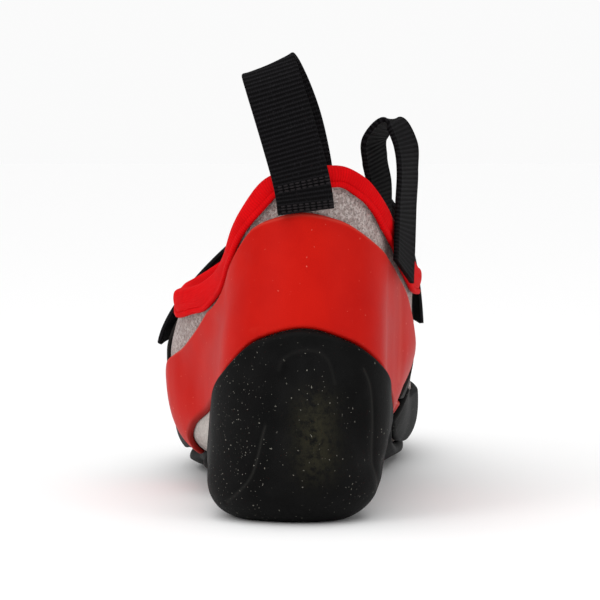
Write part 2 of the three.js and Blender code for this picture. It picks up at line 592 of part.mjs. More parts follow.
// The form's point, its two slopes and its outward normal, found from two small steps.
function frameAt(spot) {
  const step = 2e-3;
  const { line, share, point } = onForm(spot);
  const slope = (change) => {
    const ahead = onForm({ ...spot, ...change(step) }).point;
    return ahead.sub(onForm({ ...spot, ...change(-step) }).point).divideScalar(2 * step);
  };
  const byAlong = slope((move) => ({ along: spot.along + move }));
  const byShare = slope((move) => ({ v: spot.v + move }));
  const normal = byAlong.clone().cross(byShare).normalize();
  const out = new THREE.Vector3(...formPoint(line, share, 1)).sub(point);
  if (normal.dot(out) < 0) normal.negate();
  return { point, byAlong, byShare, normal };
}

// The spot of the form below a point, reached by a few steps of least squares.
function spotBelow(target, start) {
  const spot = { ...start };
  for (let i = 0; i < 6; i += 1) {
    const { point, byAlong, byShare } = frameAt(spot);
    const miss = target.clone().sub(point);
    const [aa, ab, bb] = [byAlong.dot(byAlong), byAlong.dot(byShare), byShare.dot(byShare)];
    const [ma, mb] = [miss.dot(byAlong), miss.dot(byShare)];
    const size = aa * bb - ab * ab;
    spot.along += (ma * bb - mb * ab) / size;
    spot.v += (mb * aa - ma * ab) / size;
  }
  return spot;
}

// The rim as a ring of spots, from the throat's end along the lateral side, round the heel and back.
function rimSpots() {
  const end = alongOf(THROAT_END);
  const spot = (sideName) => (along) => ({ sideName, along, v: atRim(rib(sideName, along)) });
  const lateral = PLACES.filter((at) => at < end + 1e-4).map(spot("lateral"));
  const medial = PLACES.filter((at) => at > 0 && at < end - 1e-4).map(spot("medial"));
  return [...lateral.reverse(), ...medial];
}

const RIM = rimSpots();
const RIM_POINTS = RIM.map((spot) => onForm(spot).point);

// Width of the binding, which is narrower round the heel than along the sides and the throat.
function bindingWidth(along) {
  return mix(BACK_BINDING_WIDTH, BINDING_WIDTH, THREE.MathUtils.smoothstep(along, HEEL_SIDE, ANKLE_SIDE));
}

// The highest share of a rib that stays a little below the binding.
function belowBinding(line) {
  const clear = bindingWidth(line.along) + 3 * GAP;
  const segments = RIM_POINTS.map((point, i) => new THREE.Line3(point, RIM_POINTS[(i + 1) % RIM_POINTS.length]));
  const nearest = new THREE.Vector3();
  return find(line, 0.5, atRim(line), (_, share) => {
    const point = new THREE.Vector3(...formPoint(line, share, 0));
    return segments.some((segment) => {
      segment.closestPointToPoint(point, true, nearest);
      return nearest.distanceTo(point) < clear;
    });
  });
}

// Outline across the binding. down: distance down the wall from its edge. out: distance outwards from the
// form. The lower edge outside is a thicker piping.
function bindingSection(width) {
  const [outside, inside] = [LOOSE_GAP, -UPPER_WALL - LOOSE_GAP];
  const top = -LOOSE_GAP - BINDING_THICKNESS;
  const piping = width - PIPING_WIDTH;
  return [
    { down: -LOOSE_GAP, out: outside },
    { down: width, out: outside },
    { down: width, out: outside + PIPING_THICKNESS },
    { down: piping, out: outside + PIPING_THICKNESS },
    { down: piping, out: outside + BINDING_THICKNESS },
    { down: top, out: outside + BINDING_THICKNESS },
    { down: top, out: inside - BINDING_THICKNESS },
    { down: BINDING_INSIDE, out: inside - BINDING_THICKNESS },
    { down: BINDING_INSIDE, out: inside },
    { down: -LOOSE_GAP, out: inside },
  ];
}

// Elastic binding folded over the rim.
function binding() {
  const count = RIM.length;
  const rings = RIM.map((spot, i) => {
    const { point, normal } = frameAt(spot);
    const ahead = RIM_POINTS[(i + 1) % count].clone().sub(RIM_POINTS[(i + count - 1) % count]);
    const down = ahead.cross(normal).normalize();
    return bindingSection(bindingWidth(spot.along)).map(({ down: distance, out }) => {
      const below = frameAt(spotBelow(point.clone().addScaledVector(down, distance), spot));
      return below.point.addScaledVector(below.normal, out);
    });
  });
  return loft(rings, true);
}

// A closed solid through a row of rings of points.
function loft(rings, wrap) {
  const size = rings[0].length;
  const positions = rings.flat().flatMap((point) => [point.x, point.y, point.z]);
  const indices = [];
  const count = wrap ? rings.length : rings.length - 1;
  for (let i = 0; i < count; i += 1) {
    const next = (i + 1) % rings.length;
    for (let j = 0; j < size; j += 1) {
      const side = (j + 1) % size;
      const [a, b] = [i * size + j, next * size + j];
      const [c, d] = [next * size + side, i * size + side];
      indices.push(a, b, c, a, c, d);
    }
  }
  if (!wrap) {
    const last = (rings.length - 1) * size;
    for (let j = 1; j < size - 1; j += 1) {
      indices.push(0, j, j + 1, last, last + j + 1, last + j);
    }
  }
  const geometry = new THREE.BufferGeometry();
  geometry.setAttribute("position", new THREE.Float32BufferAttribute(positions, 3));
  geometry.setIndex(indices);
  return geometry;
}

// The instep slopes, so what lies above and below the wall there stands off by more than the thicknesses.
const TONGUE_DEPTH = 5.8;
const STRAP_STAND_OFF = 4;

function tongue() {
  const count = 8;
  const edge = (line) => atSpan(line, TONGUE_WIDTH / 2);
  return bridge({
    shares: Array.from({ length: count }, (_, i) => mix(TONGUE_FRONT, TONGUE_BACK, i / (count - 1))),
    lateral: edge,
    medial: edge,
    steps: 5,
    lift: () => -TONGUE_DEPTH - TONGUE_THICKNESS,
    thickness: TONGUE_THICKNESS,
  });
}

// The strap lies over panels and binding, and its free end stands off on the lateral side.
const STRAP_FREE_HEIGHT = 0.43;
const STRAP_SEWN_HEIGHT = 0.5;
const STRAP_FREE_LIFT = 1.5;
function strap() {
  const half = STRAP_WIDTH / 2 / LENGTH;
  return bridge({
    shares: [1, 0, -1].map((side) => STRAP_MIDDLE + side * half),
    lateral: (line) => atHeight(line, STRAP_FREE_HEIGHT * HEEL_HEIGHT),
    medial: (line) => atHeight(line, STRAP_SEWN_HEIGHT * HEEL_HEIGHT),
    steps: 8,
    lift: (line, share, onLateral) =>
      STRAP_STAND_OFF + (onLateral ? STRAP_FREE_LIFT * (1 - share) ** 4 : 0),
    thickness: STRAP_THICKNESS,
  });
}

// A pull loop: webbing carried along a smooth path, with its width turned along the way.
function pullLoop(path) {
  const sizes = new THREE.Vector3(BALL_WIDTH, LENGTH, HEEL_HEIGHT);
  const points = path.map(({ at }) => new THREE.Vector3(...at).multiply(sizes));
  const centre = new THREE.CatmullRomCurve3(points, false, "centripetal");
  const widths = new THREE.CatmullRomCurve3(path.map(({ width }) => new THREE.Vector3(...width)));
  const steps = (path.length - 1) * 3;
  const rings = Array.from({ length: steps + 1 }, (_, i) => {
    const t = i / steps;
    const point = centre.getPoint(t);
    const ahead = centre.getTangent(t);
    const across = widths.getPoint(t).addScaledVector(ahead, -widths.getPoint(t).dot(ahead)).normalize();
    const out = ahead.clone().cross(across);
    return [[-1, 1], [1, 1], [1, -1], [-1, -1]].map(([a, b]) =>
      point
        .clone()
        .addScaledVector(across, (a * WEBBING_WIDTH) / 2)
        .addScaledVector(out, (b * WEBBING_THICKNESS) / 2),
    );
  });
  return loft(rings, false);
}

// Middle lines of the two loops, as shares of the ball width, the length and the heel height
const HEEL_LOOP = [
  { at: [-0.0065, 0.0276, 0.8767], width: [1, 0, 0.1] },
  { at: [-0.0152, 0.0248, 0.9298], width: [1, 0, 0.15] },
  { at: [-0.0304, 0.0224, 0.9868], width: [1, 0, 0.2] },
  { at: [-0.0576, 0.02, 1.0658], width: [1, 0, 0.26] },
  { at: [-0.0913, 0.022, 1.1579], width: [1, 0, 0.33] },
  { at: [-0.1196, 0.03, 1.2325], width: [1, 0.05, 0.4] },
  { at: [-0.1348, 0.048, 1.2763], width: [1, 0.1, 0.44] },
  { at: [-0.1152, 0.07, 1.2588], width: [1, 0.15, 0.4] },
  { at: [-0.0826, 0.082, 1.2061], width: [1, 0.2, 0.3] },
  { at: [-0.0489, 0.086, 1.1316], width: [1, 0.2, 0.25] },
  { at: [-0.0217, 0.084, 1.0351], width: [1, 0.1, 0.2] },
  { at: [-0.0054, 0.076, 0.9474], width: [1, 0, 0.1] },
  { at: [0, 0.0744, 0.886], width: [1, 0, 0] },
];
const SIDE_LOOP = [
  { at: [0.3424, 0.16, 0.7105], width: [0.36, 0.93, 0] },
  { at: [0.3457, 0.1592, 0.7895], width: [0.36, 0.93, 0] },
  { at: [0.3489, 0.158, 0.886], width: [0.36, 0.93, 0] },
  { at: [0.3543, 0.158, 0.9825], width: [0.36, 0.93, 0] },
  { at: [0.3457, 0.158, 1.0658], width: [0.42, 0.9, 0] },
  { at: [0.2989, 0.16, 1.1272], width: [0.42, 0.9, 0] },
  { at: [0.2391, 0.166, 1.0789], width: [0.42, 0.9, 0] },
  { at: [0.2391, 0.172, 1.0175], width: [0.42, 0.9, 0] },
  { at: [0.2543, 0.176, 0.9474], width: [0.42, 0.9, 0] },
  { at: [0.2543, 0.18, 0.8684], width: [0.42, 0.9, 0] },
  { at: [0.2435, 0.182, 0.7982], width: [0.42, 0.9, 0] },
  { at: [0.2413, 0.182, 0.7544], width: [0.42, 0.9, 0] },
];

add("upper", upper(), "suede");
add("insole", insole(), "board");
add("outsole", outsole(), "blackRubber");
add("heel_cup", heelCup(), "blackRubber");
add("tension_rand", tensionRand(), "redRubber");
add("toe_rubber", toeRubber(), "blackRubber");
add("lateral_panel", panel("lateral"), "synthetic");
add("medial_panel", panel("medial"), "synthetic");
add("collar_binding", binding(), "redElastic");
add("tongue", tongue(), "synthetic");
add("strap", strap(), "webbing");
add("pull_loop_heel", pullLoop(HEEL_LOOP), "webbing");
add("pull_loop_side", pullLoop(SIDE_LOOP), "webbing");

// The shoe stands with the middle of its outline over the origin.
const box = new THREE.Box3().setFromObject(shoe);
const centre = box.getCenter(new THREE.Vector3());
shoe.position.set(-centre.x, -centre.y, -box.min.z);

export default shoe;
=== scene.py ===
# %% [markdown]
# A left climbing shoe, seen from straight behind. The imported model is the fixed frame: it gives every
# piece its place and size. This script dresses it: each piece is made again from the same form, on a much
# finer grid, and gets its own procedural finish.

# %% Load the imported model
import math

import bpy
import numpy as np
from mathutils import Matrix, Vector


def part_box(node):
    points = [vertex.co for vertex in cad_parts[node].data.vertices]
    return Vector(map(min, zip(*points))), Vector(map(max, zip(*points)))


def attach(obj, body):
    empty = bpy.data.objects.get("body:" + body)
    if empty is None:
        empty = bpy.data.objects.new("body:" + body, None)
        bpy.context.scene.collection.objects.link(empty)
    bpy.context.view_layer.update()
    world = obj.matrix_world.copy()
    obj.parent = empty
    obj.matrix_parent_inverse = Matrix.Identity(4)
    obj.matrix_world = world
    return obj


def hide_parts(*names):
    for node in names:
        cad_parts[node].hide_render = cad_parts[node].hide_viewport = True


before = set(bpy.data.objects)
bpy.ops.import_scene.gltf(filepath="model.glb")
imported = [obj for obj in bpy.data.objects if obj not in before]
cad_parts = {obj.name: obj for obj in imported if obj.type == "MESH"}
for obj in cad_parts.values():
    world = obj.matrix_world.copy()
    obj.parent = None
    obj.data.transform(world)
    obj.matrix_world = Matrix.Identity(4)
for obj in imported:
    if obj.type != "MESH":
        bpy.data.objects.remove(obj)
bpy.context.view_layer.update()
print("packed model", len(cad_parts), "nodes")

# %% [markdown]
# The shoe's form is a set of ribs. Each rib is a curve in an upright plane, from the middle of the sole, out
# under the foot and up the side. The tables give the ribs at a few places, and smooth curves run between
# their rows. A sculpted mesh could have the same look, but with a form that is a function every layer lies
# on the next one exactly, however fine its grid is.

# %% Sizes in millimetres, and the shoe's tables
LENGTH = 250.0
BALL_WIDTH = 92.0
INSTEP_HEIGHT = 105.0
HEEL_HEIGHT = 114.0

GAP = 0.35
SOLE_GAP = 0.5
LOOSE_GAP = 0.85
UPPER_WALL = 2.0
RAND_THICKNESS = 1.7
CUP_THICKNESS = 3.5
TOE_RUBBER_THICKNESS = 2.2
SOLE_THICKNESS = 4.0
INSOLE_THICKNESS = 3.0
PANEL_THICKNESS = 1.2
TONGUE_THICKNESS = 2.0
STRAP_THICKNESS = 1.6
BINDING_THICKNESS = 1.3
PIPING_THICKNESS = 1.9
WEBBING_THICKNESS = 1.5
BINDING_WIDTH = 7.5
BACK_BINDING_WIDTH = 5.3
HEEL_SIDE = 0.85
ANKLE_SIDE = 1.2
BINDING_INSIDE = 3.2
PIPING_WIDTH = 2.0
STRAP_WIDTH = 24.0
WEBBING_WIDTH = 18.0
TONGUE_WIDTH = 46.0
THROAT_WIDTH = 22.0
WORN_FLAT = 1.1

HEEL_CENTRE = 0.12
TOE_CENTRE = 0.888
CUP_FRONT = 0.224
PANEL_BACK = 0.424
RAND_FRONT = 0.448
PANEL_FRONT = 0.56
STRAP_MIDDLE = 0.472
TONGUE_BACK = 0.38
THROAT_END = 0.62
TONGUE_FRONT = 0.66
TURN_IN = 0.88


def numbers(text):
    """Rows of numbers from a block of text."""
    return np.array([row.split() for row in text.strip().splitlines()], float)


def table(names, text):
    """The same rows as one array for each named column."""
    return dict(zip(names.split(), numbers(text).T))


MIDDLE = table("along spine sole ridge top", """
0.12 -0.016 0 0.16 1
0.17 -0.018 0.004 0.16 1
0.23 -0.022 0.024 0.16 1
0.33 -0.045 0.054 0.17 1
0.44 -0.055 0.042 0.17 0.985
0.52 -0.055 0.015 0.155 0.88
0.6 -0.05 0 0.13 0.745
0.69 -0.025 0 0.115 0.605
0.78 0.045 0 0.115 0.485
0.84 0.108 0.008 0.12 0.415
0.888 0.13 0.02 0.13 0.365
""")
LATERAL = table("along half girth round endHalf endHeight close rise rim", """
0 0.285 0.36 0.74 0.2 1.1 0 0.4 0.985
0.35 0.287 0.3 0.75 0.205 1.07 0 0.4 0.955
0.7 0.288 0.23 0.76 0.222 0.98 0 0.35 0.86
1 0.29 0.205 0.76 0.242 0.9 0 0.35 0.77
1.08 0.3 0.21 0.76 0.29 0.83 0 0.35 0.685
1.16 0.326 0.235 0.76 0.375 0.79 0 0.3 0.63
1.234 0.4 0.36 0.76 0.462 0.8 0.02 0.35 0.607
1.27 0.44 0.42 0.78 0.48 0.83 0.12 0.4 0.607
1.31 0.466 0.45 0.8 0.48 0.88 0.45 0.44 0.62
1.36 0.472 0.45 0.81 0.45 0.9 1 0.36 0.65
1.4 0.468 0.45 0.81 0.45 0.9 1 0.31 0.7
1.443 0.462 0.43 0.82 0.45 0.9 1 0.31 0.78
1.48 0.458 0.39 0.83 0.45 0.8 1 0.34 0.9
1.53 0.456 0.31 0.84 0.45 0.8 1 0.4 1.2
1.625 0.46 0.2 0.84 0.4 0.7 1 0.5 1.2
1.74 0.45 0.18 0.82 0.4 0.6 1 0.5 1.2
1.859 0.424 0.17 0.8 0.3 0.5 1 0.52 1.2
1.9375 0.378 0.165 0.78 0.2 0.4 1 0.54 1.2
2 0.322 0.165 0.76 0.2 0.4 1 0.56 1.2
2.2 0.284 0.165 0.75 0.2 0.4 1 0.57 1.2
2.45 0.268 0.165 0.74 0.2 0.4 1 0.58 1.2
3 0.275 0.17 0.72 0.2 0.4 1 0.6 1.2
""")
MEDIAL = table("along half girth round endHalf endHeight close rise rim", """
0 0.285 0.36 0.74 0.2 1.1 0 0.4 0.985
0.35 0.283 0.36 0.75 0.205 1.1 0 0.4 0.985
0.7 0.277 0.38 0.76 0.225 1.07 0 0.4 0.95
1 0.27 0.4 0.74 0.278 0.99 0 0.4 0.865
1.08 0.305 0.45 0.6 0.335 0.93 0 0.4 0.79
1.16 0.365 0.5 0.48 0.4 0.88 0 0.4 0.71
1.234 0.418 0.52 0.38 0.445 0.87 0 0.4 0.675
1.27 0.434 0.515 0.36 0.46 0.88 0.1 0.44 0.672
1.31 0.443 0.5 0.36 0.46 0.9 0.45 0.5 0.685
1.36 0.446 0.48 0.4 0.45 0.9 1 0.58 0.715
1.4 0.443 0.45 0.47 0.45 0.9 1 0.6 0.77
1.443 0.438 0.41 0.57 0.45 0.9 1 0.6 0.86
1.48 0.434 0.37 0.66 0.45 0.8 1 0.6 0.96
1.53 0.432 0.32 0.73 0.45 0.8 1 0.6 1.2
1.625 0.438 0.26 0.82 0.4 0.7 1 0.58 1.2
1.74 0.452 0.22 0.85 0.4 0.6 1 0.56 1.2
1.859 0.384 0.2 0.82 0.3 0.5 1 0.56 1.2
1.9375 0.3 0.185 0.79 0.2 0.4 1 0.56 1.2
2 0.25 0.175 0.76 0.2 0.4 1 0.56 1.2
2.22 0.239 0.172 0.75 0.2 0.4 1 0.56 1.2
2.44 0.243 0.17 0.74 0.2 0.4 1 0.57 1.2
2.67 0.257 0.17 0.73 0.2 0.4 1 0.58 1.2
3 0.275 0.17 0.72 0.2 0.4 1 0.6 1.2
""")
LATERAL_EDGES = table("along cup randLow randHigh toe sole", """
0 0.552 0.552 0.873 0.3 0.8
0.35 0.522 0.522 0.852 0.3 0.8
0.7 0.435 0.435 0.8 0.3 0.8
1 0.36 0.36 0.735 0.3 0.8
1.04 0.31 0.35 0.69 0.3 0.8
1.08 0.24 0.33 0.64 0.3 0.82
1.135 0.13 0.295 0.56 0.3 0.82
1.26 0.1 0.178 0.435 0.3 0.76
1.313 0.1 0.11 0.4 0.3 0.7
1.345 0.1 0.06 0.37 0.3 0.69
1.427 0.1 0.04 0.3 0.3 0.74
1.625 0.1 0.04 0.25 0.245 0.89
2 0.1 0.04 0.25 0.24 0.88
3 0.1 0.04 0.25 0.235 0.87
""")
MEDIAL_EDGES = table("along cup randLow randHigh toe sole", """
0 0.552 0.552 0.873 0.3 0.8
0.35 0.518 0.518 0.852 0.3 0.8
0.7 0.448 0.448 0.8 0.3 0.8
1 0.385 0.385 0.75 0.3 0.78
1.04 0.335 0.365 0.725 0.3 0.76
1.08 0.265 0.33 0.695 0.3 0.74
1.135 0.17 0.28 0.64 0.3 0.73
1.2 0.12 0.24 0.555 0.3 0.73
1.26 0.1 0.2 0.44 0.3 0.73
1.313 0.1 0.16 0.33 0.3 0.74
1.427 0.1 0.1 0.26 0.3 0.8
1.625 0.1 0.04 0.25 0.24 0.88
2 0.1 0.04 0.25 0.24 0.88
3 0.1 0.04 0.25 0.235 0.87
""")
LOOP_SIZES = np.array([BALL_WIDTH, LENGTH, HEEL_HEIGHT, 1, 1, 1])
HEEL_LOOP = LOOP_SIZES * numbers("""
-0.0065 0.0276 0.8767 1 0 0.1
-0.0152 0.0248 0.9298 1 0 0.15
-0.0304 0.0224 0.9868 1 0 0.2
-0.0576 0.02 1.0658 1 0 0.26
-0.0913 0.022 1.1579 1 0 0.33
-0.1196 0.03 1.2325 1 0.05 0.4
-0.1348 0.048 1.2763 1 0.1 0.44
-0.1152 0.07 1.2588 1 0.15 0.4
-0.0826 0.082 1.2061 1 0.2 0.3
-0.0489 0.086 1.1316 1 0.2 0.25
-0.0217 0.084 1.0351 1 0.1 0.2
-0.0054 0.076 0.9474 1 0 0.1
0 0.0744 0.886 1 0 0
""")
SIDE_LOOP = LOOP_SIZES * numbers("""
0.3424 0.16 0.7105 0.36 0.93 0
0.3457 0.1592 0.7895 0.36 0.93 0
0.3489 0.158 0.886 0.36 0.93 0
0.3543 0.158 0.9825 0.36 0.93 0
0.3457 0.158 1.0658 0.42 0.9 0
0.2989 0.16 1.1272 0.42 0.9 0
0.2391 0.166 1.0789 0.42 0.9 0
0.2391 0.172 1.0175 0.42 0.9 0
0.2543 0.176 0.9474 0.42 0.9 0
0.2543 0.18 0.8684 0.42 0.9 0
0.2435 0.182 0.7982 0.42 0.9 0
0.2413 0.182 0.7544 0.42 0.9 0
""")
print("rib tables", len(LATERAL["along"]), "lateral and", len(MEDIAL["along"]), "medial rows")

# %% Smooth curves between the rows
HEEL_Y = HEEL_CENTRE * LENGTH
TOE_Y = TOE_CENTRE * LENGTH
STANDING = CUP_THICKNESS + GAP - WORN_FLAT
JOINT = 2 * GAP / LENGTH
TIP = 3
TOE_SLOPE = 0.42
END_PULL = 0.4
HALVINGS = 28
FITTING_STEPS = 6


def evenly(at):
    """Place by distance: the stretch beside the foot counts four times a quarter turn."""
    return np.where(at < 1, at, np.where(at < 2, 1 + 4 * (at - 1), at + 3))


def curve(rows, column, at, spacing=evenly, level=True):
    """Cubic pieces between the rows. The slope at a row is the harmonic mean of the rises on both sides,
    or nought where they differ in sign, so the curve stays between its rows."""
    x, y = spacing(rows["along"]), rows[column]
    rise = np.diff(y) / np.diff(x)
    slope = np.zeros_like(y)
    product, total = rise[1:] * rise[:-1], rise[1:] + rise[:-1]
    slope[1:-1] = np.where(product > 0, 2 * product / np.where(product > 0, total, 1), 0)
    if not level:
        slope[0], slope[-1] = rise[0], rise[-1]
    t = np.clip(spacing(at), x[0], x[-1])
    i = np.clip(np.searchsorted(x, t, side="right") - 1, 0, len(x) - 2)
    step = x[i + 1] - x[i]
    s = (t - x[i]) / step
    left = (1 + 2 * s) * (1 - s) ** 2 * y[i] + s * (1 - s) ** 2 * step * slope[i]
    return left + s**2 * (3 - 2 * s) * y[i + 1] - s**2 * (1 - s) * step * slope[i + 1]


def middle(column, y):
    """A column of the middle line's table, at a distance along the shoe."""
    return curve(MIDDLE, column, y / LENGTH, spacing=lambda share: share, level=False)


def place_at(y):
    """Place of a distance along the shoe, 1 at the heel's centre and 2 at the toe's."""
    return 1 + (y - HEEL_Y) / (TOE_Y - HEEL_Y)


def mix(a, b, share):
    return a + (b - a) * share


def along_shoe(place):
    """Distance from the heel's back to the plane that a place's rib starts from."""
    return mix(HEEL_Y, TOE_Y, np.clip(np.abs(place) - 1, 0, 1))


def own_side(place):
    """A place past the toe's tip as a place of the other side."""
    return np.where(np.abs(place) > TIP, -np.sign(place) * (2 * TIP - np.abs(place)), place)


def run_along(points):
    """Distance run along a line of points."""
    return np.concatenate([[0], np.cumsum(np.linalg.norm(np.diff(points, axis=0), axis=1))])


# %% [markdown]
# A place is 0 at the back of the heel, 1 to 2 beside the foot and 3 at the tip of the toe, and it is
# negative on the lateral side. A share is 0 in the middle of the sole, 0.5 at the widest height and 1 at the
# rib's upper end. Places past the toe's tip and shares past the instep's ridge belong to the other side, so
# that a strap or a tongue is one surface from side to side.

# %% The form as a function of place and share


def rib(place, rows, column):
    """A column of the two sides' tables, each place on its own side."""
    at = np.abs(place)
    return np.where(place < 0, curve(rows[0], column, at), curve(rows[1], column, at))


def bezier(points, t):
    """Point and direction of the cubic curve through four control points."""
    a, b, c, d = points
    s = 1 - t
    point = s**3 * a + 3 * s * s * t * b + 3 * s * t * t * c + t**3 * d
    return point, s * s * (b - a) + 2 * s * t * (c - b) + t * t * (d - c)


def form(place, share, lift=0.0):
    """Point of the form, moved outwards by a lift. Below the girth the rib is one cubic curve and above it
    another. The lift goes along the curve's normal in the rib's own plane."""
    place, share = np.broadcast_arrays(np.asarray(place, float), np.asarray(share, float))
    if (share > 1).any():
        place, share = np.where(share > 1, -place, place), np.where(share > 1, 2 - share, share)
    elif place.ndim == 2 and (place == place[:, :1]).all():
        place = place[:, :1]
    place = own_side(place)
    ribs = (LATERAL, MEDIAL)
    at, sign = np.abs(place), np.where(place < 0, -1.0, 1.0)
    y = along_shoe(place)
    turn = math.pi / 2 * np.where(at < 1, at - 1, np.maximum(at - 2, 0))
    spine = middle("spine", y) * BALL_WIDTH
    half = rib(place, ribs, "half") * BALL_WIDTH
    low = STANDING + middle("sole", y) * INSTEP_HEIGHT
    girth = rib(place, ribs, "girth") * INSTEP_HEIGHT
    square, close, rise = (rib(place, ribs, name) for name in ("round", "close", "rise"))
    ridge = np.where(at < 2, sign * (middle("ridge", y) * BALL_WIDTH - spine), 0.0)
    end_r = mix(rib(place, ribs, "endHalf") * BALL_WIDTH, ridge, close)
    end_z = mix(rib(place, ribs, "endHeight") * HEEL_HEIGHT, middle("top", y) * INSTEP_HEIGHT, close)
    reach = rise * (half - end_r)
    slope = TOE_SLOPE * np.where(at > 2, np.sin(turn), 0)
    handle_r = end_r + close * reach
    handle_z = end_z + mix(-END_PULL * (end_z - girth), -slope * reach, close)
    below, t = share < 0.5, np.where(share < 0.5, share * 2, share * 2 - 1)
    nought = np.zeros_like(half)
    under_r, over_r = (nought, square * half, half, half), (half, half, handle_r, end_r)
    under_z = (low, low, mix(girth, low, square), girth)
    over_z = (girth, mix(girth, end_z, rise), handle_z, end_z)
    (r1, dr1), (z1, dz1) = bezier(under_r, t), bezier(under_z, t)
    (r2, dr2), (z2, dz2) = bezier(over_r, t), bezier(over_z, t)
    r, z, dr, dz = (np.where(below, *pair) for pair in ((r1, r2), (z1, z2), (dr1, dr2), (dz1, dz2)))
    size = np.maximum(np.hypot(dr, dz), 1e-9)
    upright = (share > 1 - 1e-6) & (close > 0.999)
    r = r + lift * np.where(upright, 0, dz / size)
    z = z + lift * np.where(upright, 1, -dr / size)
    return np.stack(np.broadcast_arrays(spine + sign * np.cos(turn) * r, y + np.sin(turn) * r, z), -1)


# %% Lines on the form: heights, the sole's edge, the rim


def passed(place, low, high, test):
    """The share at which a test turns true along each rib, found by halving."""
    low, high = np.full(len(place), low) + 0.0, np.full(len(place), high) + 0.0
    for _ in range(HALVINGS):
        half = (low + high) / 2
        true = test(form(place, half))
        low, high = np.where(true, low, half), np.where(true, half, high)
    return (low + high) / 2


def at_height(place, height):
    return passed(place, 0.0, 1.0, lambda point: point[:, 2] > height)


def at_span(place, span):
    """The share at which a rib comes within a span of the ridge."""
    ridge = middle("ridge", along_shoe(place)) * BALL_WIDTH
    return passed(place, 0.5, 1.0, lambda point: np.abs(point[:, 0] - ridge) < span)


def edge(place, column):
    return rib(place, (LATERAL_EDGES, MEDIAL_EDGES), column)


def under_foot(place, share):
    """The share at which the underside reaches a part of the outsole's width."""
    place = own_side(place)
    y = along_shoe(place)
    axis = np.stack([middle("spine", y) * BALL_WIDTH, y], -1)
    out = share * edge(place, "sole") * rib(place, (LATERAL, MEDIAL), "half") * BALL_WIDTH
    return passed(place, 0.0, 0.5, lambda point: np.hypot(*(point[:, :2] - axis).T) > out)


def at_rim(place):
    """The wall's edge: at the rim's height round the ankle, at the throat's side on the instep, and on the
    ridge in front of it. The corner between the two is rounded by a soft minimum."""
    ribs = (LATERAL, MEDIAL)
    rim, close = rib(place, ribs, "rim"), rib(place, ribs, "close")
    y = along_shoe(place)
    end = mix(rib(place, ribs, "endHeight"), middle("top", y) * INSTEP_HEIGHT / HEEL_HEIGHT, close)
    height = passed(place, 0.5, 1.0, lambda point: point[:, 2] > rim * HEEL_HEIGHT)
    height = np.where(rim > end, 1 + 4 * (rim - end), height)
    radius = THROAT_WIDTH / 2
    ahead = np.maximum(y - (THROAT_END * LENGTH - radius), 0)
    span = np.sqrt(np.maximum(radius**2 - ahead**2, 0))
    beside = at_span(place, span)
    both = -np.log(np.exp(-16 * height) + np.exp(-16 * beside)) / 16
    instep = np.where(span > 0, np.minimum(both, 1), 1)
    return np.where(close < 0.999, height, instep)


# %% True normals, and the nearest spot of the form


def slopes(place, share):
    """Point, its two slopes and the outward normal, from small steps both ways."""
    step = 2e-3
    by_place = (form(place + step, share) - form(place - step, share)) / (2 * step)
    by_share = (form(place, share + step) - form(place, share - step)) / (2 * step)
    point = form(place, share)
    normal = np.cross(by_place, by_share)
    normal /= np.linalg.norm(normal, axis=-1, keepdims=True)
    out = form(place, share, 1.0) - point
    return point, by_place, by_share, normal * np.sign((normal * out).sum(-1, keepdims=True))


def spot_below(target, place, share):
    """Place and share nearest to a target point, by steps of least squares on the form's slopes."""
    for _ in range(FITTING_STEPS):
        point, by_place, by_share, _ = slopes(place, share)
        miss = target - point
        pairs = (by_place, by_place), (by_place, by_share), (by_share, by_share)
        aa, ab, bb = ((one * other).sum(-1) for one, other in pairs)
        ma, mb = (miss * by_place).sum(-1), (miss * by_share).sum(-1)
        size = aa * bb - ab * ab
        place, share = place + (ma * bb - mb * ab) / size, share + (mb * aa - ma * ab) / size
    return place, share


# %% The rim, evenly spaced


def rim_line(count):
    """Places round the rim at even distances: from the throat's end along the lateral side, round the heel
    and back along the medial side. The half circle at the throat's end is taken by its angle."""
    radius = THROAT_WIDTH / 2
    turn_y = THROAT_END * LENGTH - radius
    straight = np.linspace(0, place_at(turn_y), 700)
    curved = place_at(turn_y + radius * np.sin(np.linspace(0, math.pi / 2, 120)))[1:]
    side = np.concatenate([straight, curved])
    place = np.concatenate([-side[::-1], side[1:]])
    points = form(place, at_rim(place))
    run = run_along(points)
    return np.interp(np.linspace(0, run[-1], count, endpoint=False), run, place), run[-1]


rim_places, rim_length = rim_line(700)
rim_points = form(rim_places, at_rim(rim_places))
print("rim", round(rim_length), "mm round")


def binding_width(place):
    """The binding is narrower round the heel than along the sides and the throat."""
    t = np.clip((np.abs(place) - HEEL_SIDE) / (ANKLE_SIDE - HEEL_SIDE), 0, 1)
    return mix(BACK_BINDING_WIDTH, BINDING_WIDTH, t * t * (3 - 2 * t))


def below_binding(place):
    """The highest share of each rib that keeps clear of the binding."""
    clear = (binding_width(place) + 3 * GAP)[:, None]

    def near(point):
        return (np.linalg.norm(point[:, None] - rim_points[None, ::3], axis=-1) < clear).any(1)

    return passed(place, 0.5, at_rim(place), near)

# %% [markdown]
# Where the shoe stands in the scene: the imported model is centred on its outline, so the form is moved by
# what two nodes' corners say. Blender works in metres.

# %% From the form's millimetres to the scene's metres
loop_box, tongue_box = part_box("pull_loop_heel"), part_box("tongue")
SHIFT = np.array([
    loop_box[1][0] * 1000 - WEBBING_WIDTH / 2,
    tongue_box[0][1] * 1000 - TONGUE_BACK * LENGTH,
    0.0,
])
print("shift", SHIFT.round(2))


def to_scene(points):
    return (points + SHIFT) / 1000


# %% [markdown]
# A mesh is made from grids of points. Points that fall together become one, so that a grid may close on
# itself or end in a pole, and a face that loses a corner becomes a triangle. The faces are turned so that the
# piece's volume is positive, which makes them all point outwards.

# %% From grids to a mesh


